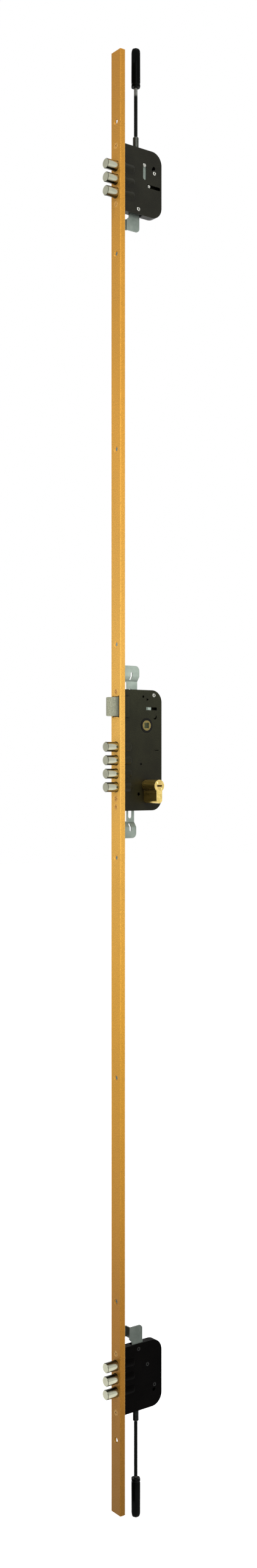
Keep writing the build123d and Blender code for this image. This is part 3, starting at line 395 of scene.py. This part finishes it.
bar_steel, tree, bsdf = shader("drawn_bar")
surface(tree, bsdf, mottled(tree, 240.0, (0.42, 0.42, 0.40), (0.60, 0.59, 0.56), (1, 6, 1)), metallic=0.9,
        roughness=mottled(tree, 300.0, 0.25, 0.42, (1, 8, 1)))
bump(tree, bsdf, grain(tree, place(tree, (1, 12, 1)), 400.0), strength=0.15, distance=0.0001)
dress(bar_steel, "fixing_blocks", "gear_stud")

# Each case is a pressed tray with a cover, both of thin steel in a satin olive-black paint; the lower case has a much
# darker copy of the paint, which is painted shade for the light that falls off toward the lock's lower end. The paint
# has an orange-peel skin and is rubbed paler where the sheet turns. Its colour also carries painted light: a painted
# sheen, paler toward the top of the main case and darker below it and on the upper case, painted shade in its recesses,
# and a painted shade and highlight round the hub's collar.


def case_paint(name, dark, light, worn, gloss, skin):
    """Satin paint from its darkest and lightest tone, the tone of rubbed edges, its gloss and its skin's depth."""
    material, tree, bsdf = shader(name)
    painted = mottled(tree, 35.0, dark, light)
    # Painted sheen: paler toward the top of the main case, darker below it and on the upper case.
    painted_sheen = ramp(tree, share(tree, apart(tree, place(tree))["Z"], low=-0.13, high=0.87), (
        (0.02, (0.66, 0.62, 0.46)), (0.13, (1.10, 1.10, 0.98)),
        (0.24, (1.70, 1.85, 1.85)), (0.60, (0.72, 0.70, 0.78))))
    dust = ramp(tree, grain(tree, place(tree), 1100.0, detail=2.0), ((0.42, 0.65), (0.66, 1.40)))
    # Painted shade: the paint is darkened where the occlusion test finds recesses.
    recess = tree.nodes.new("ShaderNodeAmbientOcclusion")
    recess.samples = 8
    recess.inputs["Distance"].default_value = 0.008
    painted_recess_shade = ramp(tree, recess.outputs["AO"], ((0.50, 0.15), (0.97, 1.0)))
    # Painted shade and highlight round the hub's collar: a dark ring close to the hub, then a brighter ring outside it.
    from_hub = vector_step(tree, "LENGTH", "Value", place(tree, (1, 0, 1)))
    collar = share(tree, from_hub, low=0.0090, high=0.0150)
    painted_collar_shade = ramp(tree, collar, ((0.05, 0.12), (0.24, 0.22), (0.38, 1.30), (0.55, 1.0)))
    painted = multiplied(tree, multiplied(tree, painted, painted_sheen, dust), multiplied(tree, painted_recess_shade, painted_collar_shade))
    rubbed_and_shaded = multiplied(tree, edges(tree, radius=0.0004), (0.5, 0.5, 0.5))
    surface(tree, bsdf, mixed(tree, rubbed_and_shaded, painted, worn), metallic=0.0,
            roughness=mottled(tree, 50.0, 0.32, 0.42), gloss=gloss)
    bump(tree, bsdf, grain(tree, place(tree), 1000.0, detail=2.0), strength=skin, distance=0.00025)
    return material


satin = case_paint("case_paint", dark=(0.0150, 0.0148, 0.0080), light=(0.0240, 0.0242, 0.0130),
                   worn=(0.075, 0.072, 0.055), gloss=0.13, skin=0.2)
dress(satin, "main_case_tray", "main_case_cover", "upper_case_tray", "upper_case_cover")
# Painted shade: the lower case gets a much darker copy of the case paint, for the light that falls off toward the
# lock's lower end.
shaded_paint = case_paint("shaded_case_paint", dark=(0.0016, 0.0014, 0.0018), light=(0.0038, 0.0034, 0.0042),
                  worn=(0.024, 0.023, 0.021), gloss=0.012, skin=0.7)
dress(shaded_paint, "lower_case_tray", "lower_case_cover")

# Tubular rivets close the cases. Their rolled ends are bright steel rings round a dark hole; on the lower case they are
# a dark copy, painted shade like the lower case's paint. The pins that guide the drive plates are the same bright
# steel.

rivet_steel, tree, bsdf = shader("rolled_steel")
surface(tree, bsdf, mottled(tree, 500.0, (0.33, 0.33, 0.30), (0.45, 0.45, 0.41)), metallic=0.9,
        roughness=mottled(tree, 200.0, 0.18, 0.34))
bump(tree, bsdf, grain(tree, place(tree), 700.0), strength=0.1, distance=0.0001)
dress(rivet_steel, "plate_guide_pins")

# Painted shade: a dark copy of the rivet steel for the lower case.
shaded_rivet, tree, bsdf = shader("shaded_rivet_copy")
rivet_black = mottled(tree, 300.0, (0.003, 0.003, 0.003), (0.007, 0.007, 0.006))
surface(tree, bsdf, mixed(tree, edges(tree, radius=0.0003), rivet_black, (0.030, 0.029, 0.026)), metallic=0.0,
        roughness=mottled(tree, 200.0, 0.26, 0.40), gloss=0.14)
bump(tree, bsdf, grain(tree, place(tree), 700.0), strength=0.12, distance=0.0001)


def rolled_rivet(low, high, low_open, high_open):
    """A tubular rivet about Z between two heights, each open end rolled over a face in a raised ring."""
    shank = 0.0018
    bore = 0.00105
    bore_depth = 0.0016
    ring = ((bore, -bore_depth), (bore, -0.0002), (0.00125, 0.0003), (0.0017, 0.00052),
            (0.0022, 0.00042), (0.00262, 0.0001), (0.0027, 0.0))

    def end(at, way, is_open):
        """The profile of one end, from the axis out to the shank."""
        if not is_open:
            return [(0.0, at), (shank, at)]
        rim = [(radius, at + way * rise) for radius, rise in ring]
        return [(0.0, at - way * bore_depth)] + rim + [(shank, at)]

    return turned(end(high, 1, high_open) + end(low, -1, low_open)[::-1], steps=40)


case_face = 0.0055
buried_end = 0.0016
rivet_rows = (
    ("main_case", rivet_steel, ((0.0135, 0.0429, True, True), (0.0160, -0.1005, True, True))),
    ("upper_case", rivet_steel, ((-0.0140, 0.7258, True, True), (0.0143, 0.7823, True, True),
                                 (0.0017, 0.7508, False, True))),
    ("lower_case", shaded_rivet, ((-0.0140, -0.8769, True, True), (0.0143, -0.9334, True, True),
                                   (0.0017, -0.9019, True, False))),
)
for case, material, spots in rivet_rows:
    for count, (x, z, near_open, far_open) in enumerate(spots, 1):
        near = case_face if near_open else -buried_end
        far = -case_face if far_open else buried_end
        piece = rolled_rivet(far, near, far_open, near_open)
        piece.rotation_euler = (math.radians(90), 0, 0)
        piece.location = (x, 0, z)
        settle(piece, f"{case}_rivet_{count}", "lock_case", material)
        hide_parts(f"{case}_rivets")

# The bolts are turned steel with bright nickel. The tool has left faint rings round the shank and on the flat end. A
# painted dark reflection lies along their upper and lower flanks and in a ring on the chamfer, and the flat end is a
# little darker.


def turning_rings(tree, direction, scale, distortion, centre):
    """Rings about an axis through a centre."""
    rings = tree.nodes.new("ShaderNodeTexWave")
    rings.wave_type = "RINGS"
    rings.rings_direction = direction
    rings.inputs["Scale"].default_value = scale
    rings.inputs["Distortion"].default_value = distortion
    tree.links.new(place(tree, centre=centre), rings.inputs["Vector"])
    return rings.outputs["Fac"]


def bolt_nickel(name, low, high):
    """Nickel for a bolt along X between two corners of its box, with turning rings about its axis."""
    chamfer_reach = 0.0020
    material, tree, bsdf = shader(name)
    axis = (0, 0, (low.z + high.z) / 2)
    tint = mottled(tree, 90.0, (0.400, 0.400, 0.300), (0.500, 0.500, 0.385))
    where = apart(tree, place(tree, centre=axis))
    flank = share(tree, number(tree, "ABSOLUTE", where["Z"]), low=0.0, high=high.y)
    # Painted dark reflection along the upper and lower flanks.
    dark_flank_reflection = ramp(tree, flank, ((0.0, 1.0), (0.50, 1.0), (0.76, 0.45), (0.90, 0.16)))
    from_end = share(tree, where["X"], low=low.x, high=low.x + chamfer_reach)
    # Painted dark reflection in a ring on the chamfer; the flat end a little darker.
    painted_end_reflection = ramp(tree, from_end, ((0.0, 0.80), (0.06, 0.80), (0.12, 0.30), (0.40, 0.30), (0.60, 1.0)))
    shank = ramp(tree, from_end, ((0.10, 0.0), (0.20, 1.0)))
    tint = multiplied(tree, tint, painted_end_reflection, mixed(tree, shank, (1.0, 1.0, 1.0), dark_flank_reflection))
    feed = grain(tree, place(tree, (14, 1, 1), axis), 160.0)
    surface(tree, bsdf, tint, metallic=1.0, roughness=ramp(tree, feed, ((0.3, 0.14), (0.7, 0.27))))
    rings = turning_rings(tree, "X", scale=420.0, distortion=0.6, centre=axis)
    bump(tree, bsdf, rings, strength=0.08, distance=0.0001)
    return material


for row, bolts_in_row in (("main", 4), ("upper", 3), ("lower", 3)):
    for count in range(1, bolts_in_row + 1):
        bolt = f"{row}_bolt_{count}"
        dress(bolt_nickel(f"nickel_{row}_{count}", *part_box(bolt)), bolt)

# The sprung latch is a cast block with a long bevel. Its nickel is coarser and greyer than the bolts', with a sandy
# grain. Its colour is painted shade toward the faceplate, darkest where it meets the plate, and stays brightest at its
# nose.

latch_nickel, tree, bsdf = shader("latch_nickel")
sand = grain(tree, place(tree), 800.0, detail=5.0, roughness=0.75)
cast = ramp(tree, sand, ((0.30, (0.165, 0.170, 0.118)), (0.52, (0.285, 0.290, 0.210)), (0.75, (0.450, 0.455, 0.345))))
from_nose = share(tree, apart(tree, place(tree))["X"], low=-0.0580, high=-0.0500)
# Painted shade: the latch darkens toward the faceplate, where it meets the plate.
rubbed_and_shaded = ramp(tree, from_nose, ((0.0, 1.0), (0.55, 0.86), (0.85, 0.45), (1.0, 0.30)))
surface(tree, bsdf, multiplied(tree, cast, rubbed_and_shaded), metallic=0.85,
        roughness=ramp(tree, sand, ((0.3, 0.34), (0.7, 0.5))))
bump(tree, bsdf, sand, strength=0.35, distance=0.0003)
dress(latch_nickel, "latch_bolt")

# The latch's tail, the drive plates, the bars that join them and the carriages are pressed from zinc-plated
# steel, dull grey-green with cloudy patches and a brighter sheared edge.

zinc, tree, bsdf = shader("zinc_plate")
cloudy = grain(tree, place(tree), 70.0, detail=6.0, roughness=0.65)
plate = ramp(tree, cloudy, ((0.30, (0.290, 0.350, 0.300)), (0.70, (0.430, 0.500, 0.435))))
# Painted light and shade: the zinc is darker toward both ends of the lock and brightest round the main case.
zinc_painted_light = ramp(tree, share(tree, apart(tree, place(tree))["Z"], low=-1.0, high=0.9), (
    (0.10, 0.25), (0.16, 0.36), (0.44, 0.72), (0.50, 0.74), (0.555, 1.08), (0.60, 1.08), (0.86, 0.64)))
surface(tree, bsdf, mixed(tree, edges(tree, radius=0.0004), multiplied(tree, plate, zinc_painted_light), (0.40, 0.43, 0.40)),
        metallic=0.65, roughness=mottled(tree, 120.0, 0.40, 0.54))
bump(tree, bsdf, grain(tree, place(tree), 500.0), strength=0.12, distance=0.0002)
dress(zinc, "latch_tail", "main_carriage", "upper_carriage", "lower_carriage", "upper_drive_plate",
      "lower_drive_plate", "upper_main_plate", "lower_main_plate", "upper_connecting_bar", "lower_connecting_bar")

# The pins and rivets of the drive are bright turned steel. The two pins of each bolt case reach up into
# slots in its cover, where their ends are turned to a ring with a centre dimple.

dress(rivet_steel, "upper_drive_rivets", "lower_drive_rivets", "upper_main_pin", "lower_main_pin")

drive_pin_x = -0.0030
drive_pin_radius = 0.00275
carriage_pin_x = 0.0048
carriage_pin_radius = 0.00235
pin_rows = (
    ("upper_drive_pin", "upper_drive", drive_pin_x, drive_pin_radius, -1),
    ("upper_carriage_pin", "upper_bolts", carriage_pin_x, carriage_pin_radius, -1),
    ("lower_drive_pin", "lower_drive", drive_pin_x, drive_pin_radius, 1),
    ("lower_carriage_pin", "lower_bolts", carriage_pin_x, carriage_pin_radius, 1),
)
for node, body, x, radius, way in pin_rows:
    low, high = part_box(node)
    length = high.y - low.y
    piece = turned([(0, -0.0006), (0.0006, -0.0006), (0.0009, -0.0002), (0.0013, 0), (radius - 0.0005, 0),
                    (radius - 0.0001, -0.0003), (radius, -0.0007), (radius, -length + 0.0003),
                    (radius - 0.0003, -length), (0, -length)])
    piece.rotation_euler = (math.radians(-90 * way), 0, 0)
    piece.location = (x, low.y if way < 0 else high.y, (low.z + high.z) / 2)
    settle(piece, f"{node}_turned", body, rivet_steel)
    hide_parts(node)

# A thin zinc-plated slider lies under the upper cover on its drive pin and fills the upright slot behind
# the pin, so that dirt stays out of the case.

slider_size = (0.0085, 0.0008, 0.0290)
slider_centre = (-0.00275, -0.0036, 0.7800)
slider_corner = 0.0022
slider_broken_edge = 0.00012
slider_hole = 0.0029
pin_low, pin_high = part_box("upper_drive_pin")
slider = box_tool(slider_size, slider_centre)
bpy.ops.object.mode_set(mode="EDIT")
bpy.ops.mesh.select_mode(type="EDGE")
bpy.ops.mesh.select_all(action="DESELECT")
bpy.ops.object.mode_set(mode="OBJECT")
for edge in slider.data.edges:
    a, b = (slider.data.vertices[end].co for end in edge.vertices)
    edge.select = abs(a.x - b.x) < 0.0001 and abs(a.z - b.z) < 0.0001
bpy.ops.object.mode_set(mode="EDIT")
bpy.ops.mesh.bevel(offset=slider_corner, segments=6, affect="EDGES")
all_in_edit()
bpy.ops.mesh.bevel(offset=slider_broken_edge, segments=1, affect="EDGES")
clear()
bpy.ops.mesh.primitive_cylinder_add(vertices=40, radius=slider_hole, depth=slider_size[1] * 5,
                                    location=(drive_pin_x, slider_centre[1], (pin_low.z + pin_high.z) / 2),
                                    rotation=(math.radians(90), 0, 0))
hole = bpy.context.object
apply_place()
cut(slider, hole)
settle(slider, "upper_slot_slider", "upper_drive", zinc)

# The cam gear on the cylinder and the stepped reduction wheel are hobbed steel, blackened and lightly oiled, with faint
# marks of the hob across their faces. They are kept nearly black, darker than the finish alone, as painted shade for
# the small hole in the main cover that shows them.

gear_steel, tree, bsdf = shader("gear_steel")
surface(tree, bsdf, mottled(tree, 260.0, (0.004, 0.004, 0.004), (0.009, 0.009, 0.008)), metallic=0.3,
        roughness=mottled(tree, 300.0, 0.40, 0.55, (1, 5, 1)), gloss=0.05)
bump(tree, bsdf, grain(tree, place(tree, (1, 6, 1)), 300.0), strength=0.12, distance=0.0001)
dress(gear_steel, "cam_gear", "reduction_gear")

# The profile cylinder is extruded brass, drawn along its length, and its two plugs are turned brass with a ring round
# the keyway. The body's colour carries painted shade and highlight by height, dark where the barrel meets the tail and
# bright along the barrel's top, and its end faces are painted brighter as lit faces.

body_low, body_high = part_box("cylinder_body")
brass, tree, bsdf = shader("cylinder_brass")
drawn = grain(tree, place(tree, (1, 0.03, 1)), 420.0, detail=2.0)
tone = ramp(tree, drawn, ((0.30, (0.500, 0.340, 0.070)), (0.70, (0.730, 0.520, 0.140))))
where = apart(tree, place(tree))
# Painted shade and highlight: dark where the barrel meets the tail, bright along the barrel's top.
painted_barrel_shade = ramp(tree, share(tree, where["Z"], low=body_low.z, high=body_high.z), (
    (0.0, 0.95), (0.30, 0.80), (0.50, 0.68), (0.56, 0.42), (0.74, 0.68), (0.90, 1.30), (1.0, 1.35)))
# Painted light: the end faces are made brighter than the sides.
at_end = share(tree, number(tree, "ABSOLUTE", where["Y"]), low=body_high.y - 0.0010, high=body_high.y)
painted_body_light = mixed(tree, ramp(tree, at_end, ((0.5, 0.0), (0.9, 1.0))), painted_barrel_shade, (1.25, 1.34, 1.75))
surface(tree, bsdf, mixed(tree, edges(tree, radius=0.0005), multiplied(tree, tone, painted_body_light), (0.88, 0.72, 0.36)),
        metallic=0.95, roughness=ramp(tree, drawn, ((0.3, 0.20), (0.7, 0.30))))
bump(tree, bsdf, drawn, strength=0.05, distance=0.0001)
dress(brass, "cylinder_body")

plug_low, plug_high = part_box("plug_inside")
plug_height = (plug_low.z + plug_high.z) / 2
plug_brass, tree, bsdf = shader("plug_brass")
rings = turning_rings(tree, "Y", scale=380.0, distortion=0.4, centre=(0, 0, plug_height))
ringed = ramp(tree, rings, ((0.2, (0.60, 0.435, 0.135)), (0.8, (0.74, 0.545, 0.185))))
surface(tree, bsdf, mixed(tree, edges(tree, radius=0.0004), ringed, (0.92, 0.76, 0.40)), metallic=0.95,
        roughness=mottled(tree, 250.0, 0.18, 0.3))
bump(tree, bsdf, rings, strength=0.1, distance=0.0001)

plug_radius = 0.00625
plug_length = 0.0340
keyway_size = (0.0088, 0.0023, 0.0230)
keyway_middle = -0.0105
entry_depth = 0.0016
entry_place = (0.0030, 0, -0.00055)
for side, way in (("outside", -1), ("inside", 1)):
    piece = turned([(0, 0), (0.00455, 0), (0.00475, -0.00022), (0.00510, -0.00022), (0.00530, 0),
                    (plug_radius - 0.0005, 0), (plug_radius, -0.0005), (plug_radius, -plug_length + 0.0006),
                    (plug_radius - 0.0006, -plug_length), (0, -plug_length)], steps=64)
    keyway = box_tool(keyway_size, (0, 0, keyway_middle))
    all_in_edit()
    bpy.ops.mesh.bevel(offset=0.0005, segments=2, affect="EDGES")
    clear()
    bpy.ops.mesh.primitive_cone_add(vertices=32, radius1=0.0002, radius2=0.0017, depth=entry_depth,
                                    location=entry_place)
    entry = bpy.context.object
    apply_place()
    cut(piece, keyway, entry)
    piece.rotation_euler = (math.radians(-90 * way), 0, 0)
    piece.location = (0, way * plug_high.y, plug_height)
    settle(piece, f"key_plug_{side}", "key_cam", plug_brass)
    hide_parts(f"plug_{side}")

# The hub is a brass turning with a square broached through it for the handle's spindle and a lever that draws the
# latch. Its colour is painted shade inside the square and grows brighter toward its rim.

hub_brass, tree, bsdf = shader("hub_brass")
sides = apart(tree, vector_step(tree, "ABSOLUTE", "Vector", place(tree)))
from_hole = share(tree, number(tree, "MAXIMUM", sides["X"], sides["Z"]), low=0.0035, high=0.0095)
# Painted shade inside the square; brighter toward the rim.
hub_tone_with_painted_shade = ramp(tree, from_hole, ((0.10, (0.060, 0.068, 0.028)), (0.16, (0.20, 0.150, 0.045)),
                                      (0.62, (0.28, 0.212, 0.068)), (0.85, (0.60, 0.470, 0.190))))
surface(tree, bsdf, mixed(tree, edges(tree, radius=0.0006), hub_tone_with_painted_shade, (0.75, 0.60, 0.27)), metallic=0.9,
        roughness=mottled(tree, 260.0, 0.24, 0.4))
bump(tree, bsdf, grain(tree, place(tree), 500.0), strength=0.15, distance=0.0001)
dress(hub_brass, "spindle_hub")

# The latch's spring is coiled from hard-drawn wire, cut square at its ends. It stands between the latch and a stop
# pressed from the tray. In the lock it is squeezed as the latch goes in; this coil keeps one length.

wire, tree, bsdf = shader("spring_wire")
surface(tree, bsdf, mottled(tree, 400.0, (0.30, 0.30, 0.30), (0.42, 0.42, 0.41)), metallic=0.9, roughness=0.3)
bump(tree, bsdf, grain(tree, place(tree), 900.0), strength=0.1, distance=0.0001)

spring_low, spring_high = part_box("latch_spring")
wire_radius = 0.00035
end_gap = 0.0001
coil_radius = (spring_high.z - spring_low.z) / 2 - wire_radius
spring_length = spring_high.x - spring_low.x
turns = 9
clear()
bpy.ops.mesh.primitive_circle_add(vertices=12, radius=wire_radius, location=(coil_radius, 0, 0),
                                  rotation=(math.radians(90), 0, 0))
spring = bpy.context.object
apply_place()
winding = spring.modifiers.new("winding", "SCREW")
winding.axis = "Z"
winding.iterations = turns
winding.steps = 32
winding.render_steps = 32
winding.screw_offset = (spring_length - 2 * wire_radius - 2 * end_gap) / turns
winding.use_merge_vertices = False
bpy.ops.object.modifier_apply(modifier="winding")
all_in_edit()
bpy.ops.mesh.fill_holes(sides=0)
all_in_edit()
bpy.ops.mesh.normals_make_consistent(inside=False)
bpy.ops.object.mode_set(mode="OBJECT")
spring.rotation_euler = (0, math.radians(90), 0)
spring.location = (spring_low.x + wire_radius + end_gap, (spring_low.y + spring_high.y) / 2,
                   (spring_low.z + spring_high.z) / 2)
settle(spring, "latch_coil_spring", "lock_case", wire)
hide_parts("latch_spring")
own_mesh(spring)

# A turned sleeve joins each end plate to a smooth black rod, whose shank stays bright near its cap. The lower sleeve's
# steel is a much darker copy, painted shade for the lower end of the lock.

rod_low, rod_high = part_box("upper_rod")
rod_x = (rod_low.x + rod_high.x) / 2
# The lower tones are painted shade: a much darker copy of the upper sleeve's steel.
sleeve_tones_with_painted_shade = (("upper", (0.042, 0.045, 0.038), (0.070, 0.074, 0.063)),
                ("lower", (0.004, 0.005, 0.004), (0.010, 0.011, 0.010)))
for side, dark, light in sleeve_tones_with_painted_shade:
    sleeve_steel, tree, bsdf = shader(f"{side}_sleeve_steel")
    feed = grain(tree, place(tree, (1, 1, 4), (rod_x, 0, 0)), 150.0)
    turned_steel = ramp(tree, feed, ((0.3, dark), (0.7, light)))
    surface(tree, bsdf, mixed(tree, edges(tree, radius=0.0004), turned_steel, (0.30, 0.31, 0.28)), metallic=0.9,
            roughness=ramp(tree, feed, ((0.3, 0.16), (0.7, 0.30))), gloss=0.2)
    bump(tree, bsdf, feed, strength=0.08, distance=0.0001)
    dress(sleeve_steel, f"{side}_coupling_sleeve")

# Each rod is black up to one height and bright from the other on.
bright_shanks = (("upper", 0.880, 0.893, 0.05), ("lower", -1.054, -1.061, 0.02))
for side, black_to, bright_from, gloss in bright_shanks:
    rod_black, tree, bsdf = shader(f"{side}_rod_black")
    along = share(tree, apart(tree, place(tree))["Z"], low=black_to, high=bright_from)
    rubbed_and_shaded = ramp(tree, along, ((0.35, 0.0), (0.65, 1.0)))
    blacked = mottled(tree, 400.0, (0.003, 0.004, 0.003), (0.007, 0.008, 0.007), (1, 1, 0.1))
    surface(tree, bsdf, mixed(tree, rubbed_and_shaded, blacked, (0.150, 0.155, 0.140)), metallic=rubbed_and_shaded,
            roughness=mottled(tree, 300.0, 0.16, 0.26, (1, 1, 0.1)), gloss=gloss)
    bump(tree, bsdf, grain(tree, place(tree, (1, 1, 0.15)), 600.0), strength=0.1, distance=0.0001)
    dress(rod_black, f"{side}_rod")

# The caps are moulded in gloss black plastic, six-sided, with a drawn-in collar and a blunt end. A faint
# flow texture breaks their shine.

cap_black, tree, bsdf = shader("cap_black")
moulded = mottled(tree, 60.0, (0.0010, 0.0014, 0.0010), (0.0028, 0.0034, 0.0028))
# Painted highlight: the six ridges of each cap are painted lighter.
surface(tree, bsdf, mixed(tree, edges(tree, radius=0.0007), moulded, (0.030, 0.034, 0.030)), metallic=0.0,
        roughness=mottled(tree, 160.0, 0.12, 0.22), gloss=0.03)
bump(tree, bsdf, grain(tree, place(tree, (1, 1, 0.4)), 180.0), strength=0.1, distance=0.0003)


def moulded_cap(low, high, way):
    """A six-sided cap in its CAD box, pulled from its base in steps: foot, groove, long body and rounded end."""
    across_flats = high.y - low.y
    drawn_in = 0.93
    steps = ((0.0007, 1 / drawn_in), (0.0028, 1.0), (0.0007, drawn_in), (0.0011, 1.0), (0.0008, 1 / drawn_in),
             (0.0424, 0.985), (0.0020, 0.965), (0.0018, 0.925), (0.0013, 0.86), (0.0007, 0.75), (0.0002, 0.5))
    clear()
    bpy.ops.mesh.primitive_circle_add(vertices=6, radius=across_flats / math.sqrt(3), fill_type="NGON",
                                      location=(0, 0, 0), rotation=(0, 0, math.radians(30)))
    piece = bpy.context.object
    apply_place()
    all_in_edit()
    bpy.ops.mesh.bevel(affect="VERTICES", offset=0.0016, offset_type="OFFSET", segments=4)
    all_in_edit()
    bpy.ops.transform.resize(value=(drawn_in, drawn_in, 1), center_override=(0, 0, 0))
    height = 0.0
    for rise, size in steps:
        height += rise
        bpy.ops.mesh.extrude_region_move(TRANSFORM_OT_translate={"value": (0, 0, rise)})
        bpy.ops.transform.resize(value=(size, size, 1), center_override=(0, 0, height))
    all_in_edit()
    bpy.ops.mesh.normals_make_consistent(inside=False)
    bpy.ops.object.mode_set(mode="OBJECT")
    if way < 0:
        piece.rotation_euler = (math.radians(180), 0, 0)
    piece.location = (rod_x, 0, high.z if way < 0 else low.z)
    return piece


for side, way in (("upper", 1), ("lower", -1)):
    piece = moulded_cap(*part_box(f"{side}_rod_cap"), way)
    settle(piece, f"{side}_cap", f"{side}_drive", cap_black)
    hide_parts(f"{side}_rod_cap")

# The studio is a pale floor under a white background. A wide soft lamp in front, a narrow one at the strip's
# side and one above light the lock, and a weak one lights its back.


def seen_as_background(tree):
    """1 for rays that show the background to the camera, in gloss and through glass."""
    path = tree.nodes.new("ShaderNodeLightPath")
    direct = number(tree, "MAXIMUM", path.outputs["Is Camera Ray"], path.outputs["Is Glossy Ray"])
    return number(tree, "MAXIMUM", direct, path.outputs["Is Transmission Ray"])


world = bpy.data.worlds.new("studio")
bpy.context.scene.world = world
world.use_nodes = True
tree = world.node_tree
background = tree.nodes["Background"]
backdrop = mixed(tree, seen_as_background(tree), (0.36, 0.36, 0.36), (1.0, 1.0, 1.0))
tree.links.new(backdrop, background.inputs["Color"])
background.inputs["Strength"].default_value = 1.0

floor_gap = 0.0015
floor_size = 24
floor_height = cad_box[0][2] - floor_gap
clear()
bpy.ops.mesh.primitive_plane_add(size=1, location=(0, 0, floor_height))
floor = bpy.context.object
floor.name = "studio_floor"
floor.scale = (floor_size, floor_size, 1)
apply_place()
floor_pale, tree, bsdf = shader("studio_floor")
bsdf.inputs["Base Color"].default_value = (0.80, 0.80, 0.80, 1)
bsdf.inputs["Roughness"].default_value = 0.9
bsdf.inputs["Specular IOR Level"].default_value = 0.0
glow = tree.nodes.new("ShaderNodeEmission")
glow.inputs["Strength"].default_value = 0.85
tree.links.new(mixed(tree, seen_as_background(tree), (0.0, 0.0, 0.0), (1.0, 1.0, 1.0)), glow.inputs["Color"])
both = tree.nodes.new("ShaderNodeAddShader")
tree.links.new(bsdf.outputs[0], both.inputs[0])
tree.links.new(glow.outputs[0], both.inputs[1])
tree.links.new(both.outputs[0], tree.nodes["Material Output"].inputs["Surface"])
floor.data.materials.append(floor_pale)


def lamp(name, spot, aim, width, height, watts):
    """A soft lamp of a width and height at a spot, turned to an aim."""
    data = bpy.data.lights.new(name, "AREA")
    data.shape = "RECTANGLE"
    data.size = width
    data.size_y = height
    data.energy = watts
    light = bpy.data.objects.new(name, data)
    bpy.context.scene.collection.objects.link(light)
    light.location = spot
    away = [a - s for a, s in zip(aim, spot)]
    turn = math.atan2(-away[0], away[1])
    rise = math.atan2(away[2], math.hypot(away[0], away[1]))
    light.rotation_euler = (math.radians(90) + rise, 0, turn)


lamp("key_lamp", spot=(-0.55, -2.8, 0.7), aim=(0, 0, 0.0), width=1.3, height=2.6, watts=33.0)
lamp("side_lamp", spot=(-2.7, -0.5, 0.6), aim=(0, 0, 0.0), width=0.4, height=2.4, watts=18.0)
lamp("top_lamp", spot=(-0.7, -1.1, 3.2), aim=(0, 0, 0.0), width=1.2, height=0.5, watts=48.0)
lamp("back_lamp", spot=(0.9, 2.6, 0.6), aim=(0, 0, -0.05), width=1.2, height=2.4, watts=16.0)
